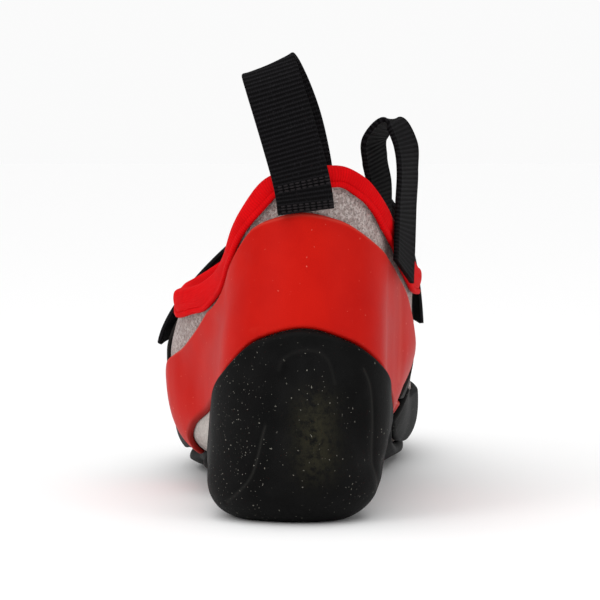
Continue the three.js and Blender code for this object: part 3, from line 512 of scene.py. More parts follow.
def grid_faces(count, rows, around=False, closed=False):
    """Corners of the faces of a grid, which may close along its first or its second direction."""
    i = np.arange(count if around else count - 1)[:, None]
    j = np.arange(rows if closed else rows - 1)[None, :]
    right, up = (i + 1) % count, (j + 1) % rows
    corners = [i * rows + j, right * rows + j, right * rows + up, i * rows + up]
    return np.stack([corner + np.zeros_like(i + j) for corner in corners], -1).reshape(-1, 4)


def piece_from(name, points, faces, uv, marks=None, finish_of=None):
    """A mesh object from points in millimetres. uv is in centimetres along and across the piece, marks are
    named values for its finish, and finish_of numbers each face's material."""
    keys = np.round(points * 500).astype(np.int64)
    _, first, number = np.unique(keys, axis=0, return_index=True, return_inverse=True)
    number = number.ravel()
    corner = number[faces]
    same = corner == np.roll(corner, -1, axis=1)
    finish_of = np.zeros(len(faces), int) if finish_of is None else finish_of
    whole = ~same.any(1) & (corner[:, 0] != corner[:, 2]) & (corner[:, 1] != corner[:, 3])
    groups = [(corner[whole], faces[whole], finish_of[whole])]
    for k in range(4):
        keep = [c for c in range(4) if c != k]
        cut = same[:, k] & (same.sum(1) == 1)
        groups.append((corner[cut][:, keep], faces[cut][:, keep], finish_of[cut]))
    place = points[first]
    fans = [(g[:, [0, k, k + 1]]) for g, _, _ in groups for k in range(1, g.shape[1] - 1)]
    tri = place[np.concatenate(fans)]
    volume = np.einsum("ij,ij->i", tri[:, 0], np.cross(tri[:, 1], tri[:, 2])).sum() / 6
    if volume < 0:
        groups = [(g[:, ::-1], f[:, ::-1], m) for g, f, m in groups]
    mesh = bpy.data.meshes.new(name)
    loops = np.concatenate([g.ravel() for g, _, _ in groups])
    source = np.concatenate([f.ravel() for _, f, _ in groups])
    sizes = np.concatenate([np.full(len(g), g.shape[1]) for g, _, _ in groups])
    mesh.vertices.add(len(place))
    mesh.vertices.foreach_set("co", to_scene(place).ravel())
    mesh.loops.add(len(loops))
    mesh.loops.foreach_set("vertex_index", loops.astype(np.int32))
    mesh.polygons.add(len(sizes))
    mesh.polygons.foreach_set("loop_start", (np.cumsum(sizes) - sizes).astype(np.int32))
    mesh.polygons.foreach_set("material_index", np.concatenate([m for _, _, m in groups]).astype(np.int32))
    mesh.update(calc_edges=True)
    mesh.shade_smooth()
    mesh.uv_layers.new(name="UVMap").data.foreach_set("uv", uv[source].ravel())
    for mark, values in (marks or {}).items():
        mesh.attributes.new(mark, "FLOAT", "POINT").data.foreach_set("value", values[first])
    piece = bpy.data.objects.new(name, mesh)
    bpy.context.scene.collection.objects.link(piece)
    print(name, "has", len(sizes), "faces and", round(abs(volume) / 1000, 1), "cubic cm")
    return piece


# %% Layers on the form


def rounded(distance, radius):
    """Height of a quarter circle over the distance from an edge, nought at the edge and 1 past it."""
    return np.sqrt(1 - (1 - np.clip(distance / radius, 0, 1)) ** 2)


def along_rows(points):
    """Distance run along a grid's second direction."""
    steps = np.linalg.norm(np.diff(points, axis=1), axis=-1)
    return np.concatenate([np.zeros((len(points), 1)), np.cumsum(steps, 1)], 1)


def layer(
    piece_name, place, low, high, under, over, rows, soft=0.8, ends=True, foot=False, relief=None, marks=None
):
    """A layer between two shares of the ribs and two lifts: an outer sheet and an inner one that meet at the
    edges, where the outer one comes down on a quarter circle. foot: it begins in the sole's middle, which is
    no edge. A lift is a number or a function of the share. relief is what is added to the outer sheet and
    marks are values for the finish, both worked out from the inner sheet's points and from the distance run
    along their row. Rows stand closer near both edges."""
    t = (1 - np.cos(math.pi * np.linspace(0, 1, rows)))[None, :] / 2
    share = low[:, None] + (high - low)[:, None] * t
    places = place[:, None] + np.zeros_like(share)
    under, over = (lift(share) if callable(lift) else lift for lift in (under, over))
    base = form(places, share, under)
    run = along_rows(base)
    ahead = along_rows(base.transpose(1, 0, 2)).T
    rim = np.where(high[:, None] < 1, rounded(run[:, -1:] - run, soft), 1.0)
    if not foot:
        rim = rim * rounded(run, soft)
    if ends:
        rim = rim * rounded(np.minimum(ahead, ahead[-1:] - ahead), soft)
    thick = (over - under) * rim
    extra = 0.0 if relief is None else relief(base, run) * rim
    outer = form(places, share, under + thick + extra)
    points = np.concatenate([outer.reshape(-1, 3), base.reshape(-1, 3)])
    points[:, 2] = np.maximum(points[:, 2], 0)
    faces = grid_faces(len(place), rows)
    faces = np.concatenate([faces, faces[:, ::-1] + outer.size // 3])
    uv = np.stack([ahead, run], -1).reshape(-1, 2) / 10
    values = {name: np.tile(mark(base, run).ravel(), 2) for name, mark in (marks or {}).items()}
    inside = np.repeat([0, 1], len(faces) // 2)
    return piece_from(piece_name, points, faces, np.tile(uv, (2, 1)), values, inside)


# %% [markdown]
# What the eye reads first on rubber and suede is how they are worn. Soft bumps and distances to given lines
# are
# enough for that: a trough is a smooth dip round a line that is drawn in the picture seen from behind, X to
# the right and Z up.

# %% Smooth paths, given lines and bumps


def smooth_path(points, count):
    """Points and directions on a curve through the given points: cubic pieces whose knots are spaced by the
    square root of the distances, so that it never overshoots."""
    ends = [2 * points[0] - points[1], *points, 2 * points[-1] - points[-2]]
    p = np.array(ends)
    step = np.sqrt(np.linalg.norm(np.diff(p, axis=0), axis=1))
    t = np.linspace(0, len(points) - 1, count)
    i = np.minimum(t.astype(int), len(points) - 2)
    s = (t - i)[:, None]
    a, b, c = (step[i + k][:, None] for k in range(3))
    p0, p1, p2, p3 = (p[i + k] for k in range(4))
    leave = ((p1 - p0) / a - (p2 - p0) / (a + b) + (p2 - p1) / b) * b
    arrive = ((p2 - p1) / b - (p3 - p1) / (b + c) + (p3 - p2) / c) * b
    point = (2 * s**3 - 3 * s**2 + 1) * p1 + (s**3 - 2 * s**2 + s) * leave + (3 * s**2 - 2 * s**3) * p2
    point += (s**3 - s**2) * arrive
    ahead = (6 * s**2 - 6 * s) * (p1 - p2) + (3 * s**2 - 4 * s + 1) * leave + (3 * s**2 - 2 * s) * arrive
    return point, ahead / np.linalg.norm(ahead, axis=1, keepdims=True)


def drawn(*points):
    """A smooth line through a few points of the picture seen from behind."""
    return smooth_path(np.array(points, float), 6 * len(points))[0]


def near_line(points, line):
    """Distance in the X-Z picture from each point to the nearest of a line's stretches."""
    flat = points[..., [0, 2]]
    best = np.full(flat.shape[:-1], 1e9)
    for start, stop in zip(line[:-1], line[1:]):
        start, stop = np.array(start, float), np.array(stop, float)
        way = stop - start
        t = np.clip(((flat - start) * way).sum(-1) / (way * way).sum(), 0, 1)
        best = np.minimum(best, np.linalg.norm(flat - start - t[..., None] * way, axis=-1))
    return best


def hill(distance, width):
    """A smooth bump, 1 on the line and nearly nought two widths away."""
    return np.exp(-((distance / width) ** 2))

# %% [markdown]
# Finishes come before the pieces. Shader maths is written as Python sums: a wire is a socket that takes part
# in them, and every other node comes from one method. Patterns read Object coordinates in metres, the
# piece's own UV in centimetres along and across a strip, or marks that were stored with the points.

# %% A small language for materials


def paint(red, green, blue):
    """A colour as read off a screen, turned into the linear numbers that the shader works in."""
    screen = np.array([red, green, blue]) / 255
    linear = np.where(screen <= 0.04045, screen / 12.92, ((screen + 0.055) / 1.055) ** 2.4)
    return (*[float(value) for value in linear], 1.0)


class Wire:
    """A socket in a finish. Each operator adds one Math node."""

    def __init__(self, finish, socket):
        self.finish, self.socket = finish, socket

    def maths(self, operation, *values):
        return self.finish.node("ShaderNodeMath", {"operation": operation}, *values)

    def __add__(self, other):
        return self.maths("ADD", self, other)

    def __sub__(self, other):
        return self.maths("SUBTRACT", self, other)

    def __rsub__(self, other):
        return self.maths("SUBTRACT", other, self)

    def __mul__(self, other):
        return self.maths("MULTIPLY", self, other)

    __radd__, __rmul__ = __add__, __mul__

    def step(self, low, high):
        """Nought below the low value, 1 above the high one, smooth between."""
        settings = {"interpolation_type": "SMOOTHSTEP"}
        return self.finish.node("ShaderNodeMapRange", settings, self, low, high, 0.0, 1.0)

    def wave(self, pitch):
        """A sine from 0 to 1 that repeats with the pitch."""
        return self.maths("SINE", self * (2 * math.pi / pitch)) * 0.5 + 0.5


class Finish:
    """A material with one Principled shader."""

    def __init__(self, name, **constants):
        self.material = bpy.data.materials.new(name)
        self.material.use_nodes = True
        self.nodes, self.links = self.material.node_tree.nodes, self.material.node_tree.links
        self.shader = self.nodes["Principled BSDF"]
        for socket, value in constants.items():
            self.shader.inputs[socket.replace("_", " ")].default_value = value

    def node(self, kind, settings=None, *values, out=0, **named):
        """Adds a node: its settings first, then the values or wires of its sockets."""
        node = self.nodes.new(kind)
        for setting, value in (settings or {}).items():
            setattr(node, setting, value)
        for socket, value in [*enumerate(values), *named.items()]:
            self.plug(node.inputs[socket], value)
        return Wire(self, node.outputs[out])

    def plug(self, socket, value):
        if isinstance(value, Wire):
            self.links.new(value.socket, socket)
        elif value is not None:
            socket.default_value = value

    def noise(self, size, detail=3.0, roughness=0.55, stretch=(1, 1, 1)):
        """Cloudy noise over the object. size: its largest features, in millimetres."""
        place = self.node("ShaderNodeTexCoord", out="Object")
        mapped = self.node("ShaderNodeMapping", None, place, Scale=stretch)
        values = {"Scale": 1000 / size, "Detail": detail, "Roughness": roughness}
        return self.node("ShaderNodeTexNoise", None, mapped, **values)

    def mark(self, name):
        return self.node("ShaderNodeAttribute", {"attribute_name": name}, out="Fac")

    def strip(self):
        """Centimetres along and across the piece, from its own UV."""
        uv = self.node("ShaderNodeUVMap", {"uv_map": "UVMap"})
        return [self.node("ShaderNodeSeparateXYZ", None, uv, out=axis) for axis in (0, 1)]

    def blend(self, share, below, above):
        """One colour passing into another."""
        node = self.nodes.new("ShaderNodeMix")
        node.data_type = "RGBA"
        for socket, value in zip((0, 6, 7), (share, below, above)):
            self.plug(node.inputs[socket], value)
        return Wire(self, node.outputs[2])

    def show(self, colour, roughness, height, depth):
        """Colour, roughness and a bump whose height is in millimetres times depth."""
        self.plug(self.shader.inputs["Base Color"], colour)
        self.plug(self.shader.inputs["Roughness"], roughness)
        bump = self.node("ShaderNodeBump", None, Height=height, Distance=depth / 1000, Strength=1.0)
        self.plug(self.shader.inputs["Normal"], bump)
        return self.material


# %% [markdown]
# Suede is the flesh side of leather: a short nap that stands every way. It scatters light, so it has no
# gloss and a little sheen, and its colour is a fine salt and pepper over larger clouds. Dirt from the sole
# darkens its lower edge.

# %% Suede and lining


def suede_finish():
    finish = Finish("grey_suede", Specular_IOR_Level=0.06, Sheen_Weight=0.05, Sheen_Roughness=0.5)
    nap, clouds, fuzz = finish.noise(1.3, 3, 0.7), finish.noise(16, 3), finish.noise(0.7, 2, 0.6)
    colour = finish.blend(clouds.step(0.3, 0.7), paint(149, 136, 132), paint(168, 153, 149))
    colour = finish.blend(nap.step(0.45, 0.6) * 0.7, colour, paint(205, 196, 192))
    colour = finish.blend((1 - fuzz.step(0.36, 0.5)) * 0.6, colour, paint(92, 84, 81))
    colour = finish.blend(finish.mark("pale") * 0.8, colour, paint(198, 194, 188))
    grime_and_shade = finish.mark("grime_and_shade") * finish.noise(4, 4, 0.7).step(0.35, 0.6)
    colour = finish.blend(grime_and_shade, colour, paint(70, 60, 52))
    return finish.show(colour, 0.95, nap * 0.6 + fuzz * 0.5, 0.7)


def lining_finish():
    finish = Finish("lining", Specular_IOR_Level=0.2)
    place = finish.node("ShaderNodeTexCoord", out="Object")
    up = finish.node("ShaderNodeSeparateXYZ", None, place, out=2)
    weave = (up * 1000).wave(1.1) * finish.noise(1.2, 2)
    clouds = finish.noise(20, 3)
    colour = finish.blend(clouds, paint(128, 118, 108), paint(150, 139, 128))
    colour = finish.blend(weave * 0.5, colour, paint(104, 95, 87))
    return finish.show(colour, 0.9, weave, 0.2)


suede, lining = suede_finish(), lining_finish()

# %% [markdown]
# The rand and the heel cup are moulded rubber. The red is even and satin, with faint clouds and scuffs. The
# black holds chalk dust: it is greyer where it is rubbed, and specks sit in its pores.

# %% Rubber


def red_rubber_finish():
    finish = Finish("red_rubber", Specular_IOR_Level=0.07)
    clouds, grain = finish.noise(22, 3), finish.noise(0.8, 3, 0.6)
    scuffs = finish.noise(5, 4, 0.7, stretch=(0.35, 0.35, 1.4))
    colour = finish.blend(clouds.step(0.3, 0.7), paint(183, 16, 7), paint(193, 21, 9))
    colour = finish.blend(scuffs.step(0.6, 0.8) * 0.25, colour, paint(206, 52, 38))
    colour = finish.blend(finish.noise(1.3, 1).step(0.75, 0.8) * 0.5, colour, paint(226, 120, 104))
    colour = finish.blend(finish.mark("lip") * 0.35, colour, paint(214, 90, 74))
    # Painted shade: the red is darkened along the rand's lower edge, where it meets the heel cup and the
    # sole. The mark for it is set on the rand.
    colour = finish.blend(finish.mark("grime_and_shade") * clouds.step(0.2, 0.6) * 0.7, colour, paint(84, 20, 14))
    return finish.show(colour, 0.4 + 0.16 * clouds, grain * 0.25 + clouds * 1.5, 0.18)


def black_rubber_finish():
    finish = Finish("black_rubber", Specular_IOR_Level=0.06)
    clouds, grain = finish.noise(13, 4, 0.6), finish.noise(0.7, 3, 0.65)
    colour = finish.blend(clouds.step(0.35, 0.75), paint(7, 7, 7), paint(16, 16, 16))
    worn = finish.mark("worn") * finish.noise(2.6, 4, 0.75).step(0.32, 0.6)
    colour = finish.blend(worn * 0.55, colour, paint(54, 52, 38))
    colour = finish.blend(finish.mark("crease") * 0.22, colour, paint(80, 79, 75))
    specks = finish.noise(0.8, 0).step(0.79, 0.82) * finish.noise(11, 2).step(0.42, 0.6)
    dust = finish.mark("dusty") * finish.noise(0.6, 0).step(0.79, 0.82)
    colour = finish.blend((specks + dust) * 0.6, colour, paint(140, 137, 128))
    roughness = 0.5 + 0.2 * clouds + worn * 0.15
    return finish.show(colour, roughness, grain * 0.3 + clouds * 1.2, 0.22)


red_rubber, black_rubber = red_rubber_finish(), black_rubber_finish()

# %% [markdown]
# The collar's binding is knitted elastic, with ribs across the strip. The webbing is woven: weft ribs run
# from edge to edge, and between them the warp shows as a fine second line.

# %% Elastic, webbing and the black synthetic


def elastic_finish(name, low, high):
    finish = Finish(name, Specular_IOR_Level=0.05)
    along, across = finish.strip()
    rib, clouds = along.wave(0.095), finish.noise(7, 3)
    knit = (rib * 0.7 + across.wave(0.07) * 0.3) * (0.3 + 0.7 * clouds.step(0.35, 0.65))
    colour = finish.blend(knit.step(0.0, 0.5), paint(*low), paint(*high))
    return finish.show(colour, 0.7, knit, 0.1)


def webbing_finish():
    finish = Finish("black_webbing", Specular_IOR_Level=0.05)
    along, across = finish.strip()
    weft, warp = along.wave(0.14), across.wave(0.075)
    weave = weft * 0.75 + warp * 0.25
    fibres = finish.noise(0.6, 3, 0.7)
    colour = finish.blend(weave.step(0.35, 0.95), paint(5, 4, 5), paint(24, 23, 25))
    colour = finish.blend(fibres.step(0.55, 0.75) * 0.25, colour, paint(62, 60, 64))
    return finish.show(colour, 0.66, weave + fibres * 0.3, 0.22)


def synthetic_finish():
    finish = Finish("black_synthetic", Specular_IOR_Level=0.12)
    place = finish.node("ShaderNodeTexCoord", out="Object")
    cells = finish.node("ShaderNodeTexVoronoi", None, place, Scale=900.0)
    clouds = finish.noise(14, 4)
    colour = finish.blend(clouds.step(0.3, 0.7), paint(20, 19, 18), paint(38, 34, 31))
    return finish.show(colour, 0.62, cells.step(0.0, 0.5) * 0.6 + clouds, 0.16)


red_elastic = elastic_finish("red_elastic", (196, 3, 8), (214, 4, 11))
webbing, synthetic = webbing_finish(), synthetic_finish()
print("finishes", len(bpy.data.materials))


def dress(piece, node, slot, *finishes):
    """Gives a piece its finishes and its body, and puts it in the place of a model node. slot: not used."""
    for finish in finishes:
        piece.data.materials.append(finish)
    if len(finishes) == 1:
        piece.data.polygons.foreach_set("material_index", np.zeros(len(piece.data.polygons), np.int32))
    if node:
        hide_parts(node)
    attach(piece, "root")
    return piece


# %% [markdown]
# The upper is one wall, turned in under the foot and open at the ankle and along the throat. Marks store
# where it is soiled near the sole, and the paler patch between rand and heel cup. Flex creases across the
# ball are troughs that run from side to side.

# %% The upper


def flex_creases(base, run):
    """Shallow troughs across the shoe at three distances from the heel, deepest on top of the foot."""
    x, y, z = base[..., 0], base[..., 1], base[..., 2]
    high = np.clip((z - 30) / 25, 0, 1)
    lines = [(168, 0.10, 2.6, 0.7), (179, -0.06, 2.2, 0.5), (157, 0.2, 2.4, 0.4)]
    creases = sum(-deep * hill(y - at - lean * x, wide) for at, lean, wide, deep in lines)
    behind = np.clip((60 - y) / 30, 0, 1) * 0.25 * np.sin(z / 5.5 + x / 9)
    return creases * high + behind


around = np.linspace(-TIP, TIP, 400)
rim_share = at_rim(around)
upper = layer(
    "upper_suede", around, under_foot(around, TURN_IN), rim_share, -UPPER_WALL, 0.0, 84,
    ends=False, relief=flex_creases,
    marks={
        "grime_and_shade": lambda base, run: np.clip(1 - (base[..., 2] - 10) / 10, 0, 1),
        "pale": lambda base, run: np.clip(1 - np.abs(base[..., 2] - 24) / 16, 0, 1)
        * np.clip(1 - np.abs(base[..., 1] - 66) / 28, 0, 1),
    },
)
dress(upper, "upper", "suede", suede, lining)

# %% [markdown]
# The insole is seen through the ankle. It is the same kind of layer, on the inside of the form, and fills
# what the turned-in wall leaves open.

# %% The insole
inner_edge = under_foot(around, TURN_IN)
board = layer(
    "insole_board", around, 0 * around, inner_edge - 0.012, 0.0, -INSOLE_THICKNESS, 20, ends=False, foot=True
)
dress(board, "insole", "board", lining)

# %% [markdown]
# The heel cup is pressed over the last, which leaves a rounded ridge down its middle and a trough on each
# side. The troughs and the thin pale creases are drawn as lines in the picture from behind.

# %% The heel cup
LEFT_TROUGH = drawn((-5, 54), (-7, 47), (-8.5, 38), (-10, 28), (-12, 17))
RIGHT_TROUGH = drawn((8, 52), (10, 43), (12.5, 35), (15.5, 27), (18, 20))
LEFT_CREASE = drawn((-12.5, 32.5), (-13.6, 28), (-14.6, 23), (-16.5, 16), (-19, 12.5), (-21.6, 10))
RIGHT_CREASE = drawn((15.6, 50), (17.3, 45), (18.1, 38), (18.6, 28), (19, 18), (18.7, 9))
CUP_BACK, DUSTY_SIDE = 34, -12
TOP_FOLD = drawn((-8.5, 50), (-7.6, 53), (-4, 55.6), (2, 56), (5.5, 53), (7.5, 46))


def flare(base, lateral):
    """How far the rubber stands out low down, where it turns under the foot: a hill over the height, round
    the heel, and once more on the lateral side, where it runs on under the arch."""
    x, y, z = base[..., 0], base[..., 1], base[..., 2]
    outside = np.clip((-12 - x) / 12, 0, 1) * np.clip((96 - y) / 30, 0, 1)
    return hill(z - 8, 8) * (1.8 * np.clip((50 - y) / 20, 0, 1) + lateral * outside)


def cup_relief(base, run):
    """A low ridge in the middle, a trough on each side, and a lip round the top of the ridge."""
    x, z = base[..., 0], base[..., 2]
    behind = np.clip((CUP_BACK - base[..., 1]) / 10, 0, 1)
    ridge = 1.3 * hill(x - 1.5, 7) * np.clip((z - 8) / 10, 0, 1) * np.clip((58 - z) / 10, 0, 1)
    troughs = 1.9 * hill(near_line(base, LEFT_TROUGH), 3.8) + 1.7 * hill(near_line(base, RIGHT_TROUGH), 4)
    fold = 0.3 * hill(near_line(base, TOP_FOLD), 1.1)
    lines = 0.35 * hill(near_line(base, LEFT_CREASE), 0.8) + 0.3 * hill(near_line(base, RIGHT_CREASE), 0.8)
    return behind * (ridge - troughs + fold - lines) + flare(base, 1.6)


def cup_worn(base, run):
    x, z = base[..., 0], base[..., 2]
    behind = np.clip((CUP_BACK - base[..., 1]) / 10, 0, 1)
    return behind * np.exp(-(((x - 2) / 5.4) ** 2) - ((z - 30) / 13) ** 4)


def cup_crease(base, run):
    lines = [(LEFT_CREASE, 0.3, 0.7), (RIGHT_CREASE, 0.25, 0.7), (TOP_FOLD, 0.5, 0.25)]
    behind = base[..., 1] < CUP_BACK
    return behind * np.clip(sum(deep * hill(near_line(base, line), wide) for line, wide, deep in lines), 0, 1)


cup_front = place_at(CUP_FRONT * LENGTH)
cup_places = np.linspace(-cup_front, cup_front, 330)
cup_top = at_height(cup_places, edge(cup_places, "cup") * HEEL_HEIGHT)
cup = layer(
    "heel_cup_rubber", cup_places, 0 * cup_places, cup_top, GAP, GAP + CUP_THICKNESS, 140,
    soft=2.6, foot=True, relief=cup_relief,
    marks={"worn": cup_worn, "crease": cup_crease, "dusty": lambda base, run: base[..., 0] < DUSTY_SIDE},
)
dress(cup, "heel_cup", "black_rubber", black_rubber)

# %% [markdown]
# The tension rand runs from the arch on one side, round the heel above the cup, to the arch on the other
# side. It is stretched rubber, so it is smooth, with soft edges and a few shallow strain lines.

# %% The tension rand
STRAIN_LINES = [
    drawn((28.5, 82), (29.6, 62), (29, 42)),
    drawn((-30, 62), (-36, 46), (-38, 30)),
    drawn((-19, 84), (-25, 70), (-30, 58)),
]


def rand_relief(base, run):
    """Shallow strain lines, and a slow wave where the rubber was laid round the heel."""
    lines = sum(hill(near_line(base, line), 2.2) for line in STRAIN_LINES)
    return -0.28 * lines + 0.12 * np.sin(base[..., 0] / 7 + base[..., 2] / 11)


rand_front = place_at(RAND_FRONT * LENGTH)
rand_places = np.linspace(-rand_front, rand_front, 360)
rand_low = at_height(rand_places, edge(rand_places, "randLow") * HEEL_HEIGHT + 0.4 * GAP)
sole_edge = under_foot(rand_places, 1.0) + 0.015
rand_low = np.where(along_shoe(rand_places) > CUP_FRONT * LENGTH, np.maximum(rand_low, sole_edge), rand_low)
rand_high = at_height(rand_places, edge(rand_places, "randHigh") * HEEL_HEIGHT)
rand_high = np.minimum(rand_high, below_binding(rand_places))
rand = layer(
    "tension_rand_rubber", rand_places, rand_low, rand_high, GAP, GAP + RAND_THICKNESS, 72,
    soft=1.3, relief=rand_relief,
    marks={
        "lip": lambda base, run: hill(run[:, -1:] - run - 0.8, 0.5)
        + 0.6 * hill(near_line(base, STRAIN_LINES[0]), 0.6) * (base[..., 1] < 60),
        # This mark is painted shade: a darker band in the rand's lowest 2.5 mm, below 40 mm high, where it
        # meets the heel cup and the sole.
        "grime_and_shade": lambda base, run: np.clip(1 - run / 2.5, 0, 1) * (base[..., 2] < 40),
    },
)
dress(rand, "tension_rand", "red_rubber", red_rubber)

# %% [markdown]
# The outsole and the toe rubber are cut from the same sheet rubber. The sole runs from the cup to the toe,
# and the toe rubber stands on it and wraps the forefoot.

# %% Outsole and toe rubber


def scuffed(base, run):
    """Worn grey low down and at the toe's tip."""
    low = np.clip(1 - base[..., 2] / 9, 0, 1)
    return np.clip(low * 0.6 + np.clip((base[..., 1] - 225) / 25, 0, 1) * 0.6, 0, 1)


def toe_wrap(start_y, count):
    """Places from the medial side round the toe's tip to the lateral side, also as each side's own places."""
    start = place_at(start_y)
    places = np.linspace(start, 2 * TIP - start, count)
    return places, own_side(places)


sole_places, own_sole = toe_wrap((CUP_FRONT + JOINT) * LENGTH, 300)
no_crease = lambda base, run: 0 * run
sole = layer(
    "outsole_rubber", sole_places, 0 * sole_places, under_foot(own_sole, 1.0),
    SOLE_GAP, SOLE_GAP + SOLE_THICKNESS, 50,
    soft=1.6, foot=True, relief=lambda base, run: flare(base, 2.4),
    marks={"worn": scuffed, "crease": no_crease},
)
dress(sole, "outsole", "black_rubber", black_rubber)

toe_places, own_toe = toe_wrap((RAND_FRONT + JOINT) * LENGTH, 300)
toe_low = np.maximum(at_height(own_toe, 2 * GAP + 0 * own_toe), under_foot(own_toe, 1.0) + 0.015)
toe_high = at_height(own_toe, edge(own_toe, "toe") * HEEL_HEIGHT)
toe = layer(
    "toe_rubber_wrap", toe_places, toe_low, toe_high, GAP, GAP + TOE_RUBBER_THICKNESS, 44,
    soft=1.4, marks={"worn": scuffed, "crease": no_crease},
)
dress(toe, "toe_rubber", "black_rubber", black_rubber)

# %% [markdown]
# The side panels are thin synthetic leather. The strap pulls on them, so they reach from the rubber's upper
# edge to just below the binding.

# %% The side panels
panel_y = np.linspace(PANEL_BACK, PANEL_FRONT, 60) * LENGTH
for name, sign in (("lateral_panel", -1), ("medial_panel", 1)):
    places = sign * place_at(panel_y)
    on_rand = panel_y < (RAND_FRONT + JOINT / 2) * LENGTH
    top = np.where(on_rand, edge(places, "randHigh"), edge(places, "toe")) * HEEL_HEIGHT
    low = at_height(places, top + 2 * GAP)
    under, over = LOOSE_GAP, LOOSE_GAP + PANEL_THICKNESS
    panel = layer(name + "_skin", places, low, below_binding(places), under, over, 44, soft=0.7)
    dress(panel, name, "synthetic", synthetic)

# %% [markdown]
# The tongue and the strap cross the instep. A share past the ridge runs down the other side, so each is one
# layer from side to side. The tongue is a padded sheet under the throat. The strap stands off the instep,
# because the shoe is empty, and its free end lifts a little more.

# %% Tongue and strap


def across(name, back, front, low, high, under, thickness, rows, soft, relief=None):
    """A layer over the ridge between two distances along the shoe, from a lateral share to a medial one."""
    places = -place_at(np.linspace(back, front, 60))
    start, stop = low(places), 2 - high(-places)
    over = lambda share: under(share) + thickness
    return layer(name, places, start, stop, under, over, rows, soft, relief=relief)


def quilted(base, run):
    """Soft channels across the tongue."""
    return 0.5 * np.abs(np.sin(base[..., 1] / 9)) - 0.3


def half_tongue(place):
    return at_span(place, TONGUE_WIDTH / 2)


def strap_lift(share):
    """The strap's stand-off, with more lift towards its free end on the lateral side."""
    return STRAP_STAND_OFF + np.where(share < 1, STRAP_FREE_LIFT * (1 - share) ** 4, 0)


TONGUE_DEPTH = 5.8
STRAP_STAND_OFF = 4.0
STRAP_FREE_LIFT = 1.5
STRAP_FREE_HEIGHT = 0.43
STRAP_SEWN_HEIGHT = 0.5
tongue = across(
    "tongue_padded", TONGUE_BACK * LENGTH, TONGUE_FRONT * LENGTH, half_tongue, half_tongue,
    lambda share: -TONGUE_DEPTH - TONGUE_THICKNESS + 0 * share, TONGUE_THICKNESS, 70, 0.9, quilted,
)
dress(tongue, "tongue", "synthetic", synthetic)

strap_middle, strap_half = STRAP_MIDDLE * LENGTH, STRAP_WIDTH / 2
strap = across(
    "closing_strap", strap_middle - strap_half, strap_middle + strap_half,
    lambda place: at_height(place, STRAP_FREE_HEIGHT * HEEL_HEIGHT),
    lambda place: at_height(place, STRAP_SEWN_HEIGHT * HEEL_HEIGHT),
    strap_lift, STRAP_THICKNESS, 140, 0.6,
)
dress(strap, "strap", "webbing", webbing)

# %% [markdown]
# The binding is a strip of elastic, folded over the wall's edge and sewn down, with a cord in its lower edge.
# It is a profile carried along the rim. Each of its points is first laid on the form, beside the rim, and
# then lifted along the form's own normal, so that the strip bends over the ankle without a gap.

# %% The collar's binding


def rounded_outline(corners, radii, steps=6):
    """A closed outline with each corner replaced by a curve that starts and ends a radius away from it."""
    corners = np.array(corners, float)
    before, after = np.roll(corners, 1, 0) - corners, np.roll(corners, -1, 0) - corners
    before /= np.linalg.norm(before, axis=1, keepdims=True)
    after /= np.linalg.norm(after, axis=1, keepdims=True)
    t, radii = np.linspace(0, 1, steps)[None, :, None], np.array(radii)[:, None]
    start, stop = (corners + way * radii for way in (before, after))
    turned = (1 - t) ** 2 * start[:, None] + 2 * t * (1 - t) * corners[:, None] + t**2 * stop[:, None]
    return turned.reshape(-1, 2)


def filled_in(outline, spacing):
    """The same closed outline with points at even distances on its long straight parts."""
    parts = []
    for start, stop in zip(outline, np.roll(outline, -1, 0)):
        count = max(1, int(np.ceil(np.linalg.norm(stop - start) / spacing)))
        parts.append(start + (stop - start) * np.arange(count)[:, None] / count)
    return np.concatenate(parts)


PUFF = 0.7
fold = -LOOSE_GAP - BINDING_THICKNESS
outside, inside = LOOSE_GAP, -UPPER_WALL - LOOSE_GAP
piping = BINDING_WIDTH - PIPING_WIDTH
profile = filled_in(
    rounded_outline(
        [
            (-LOOSE_GAP, outside), (BINDING_WIDTH, outside), (BINDING_WIDTH, outside + PIPING_THICKNESS),
            (piping, outside + PIPING_THICKNESS), (piping, outside + BINDING_THICKNESS),
            (fold, outside + BINDING_THICKNESS), (fold, inside - BINDING_THICKNESS),
            (BINDING_INSIDE, inside - BINDING_THICKNESS), (BINDING_INSIDE, inside), (-LOOSE_GAP, inside),
        ],
        [0.3, 0.85, 0.95, 0.85, 0.2, 1.9, 1.9, 0.6, 0.5, 0.3],
    ),
    1.0,
)


def knitted_in(run):
    """A slow waviness of the strip's lower edge, from sewing it on stretched."""
    return 0.25 * np.sin(run / 3.1) + 0.2 * np.sin(run / 7.7 + 1)


_, _, _, rim_normals = slopes(rim_places, at_rim(rim_places))
rim_ahead = np.roll(rim_points, -1, 0) - np.roll(rim_points, 1, 0)
rim_down = np.cross(rim_ahead, rim_normals)
rim_down /= np.linalg.norm(rim_down, axis=-1, keepdims=True)
rim_run = np.arange(len(rim_places)) * rim_length / len(rim_places)


def beside_rim(down, out):
    """Points at a distance down from the rim and a lift off the form, for arrays of rim by profile."""
    target = rim_points[:, None] + down[..., None] * rim_down[:, None]
    start = np.broadcast_to(rim_places[:, None], down.shape)
    foot = spot_below(target, start, at_rim(rim_places)[:, None] + 0 * down)
    point, _, _, normal = slopes(*foot)
    return point + out[..., None] * normal


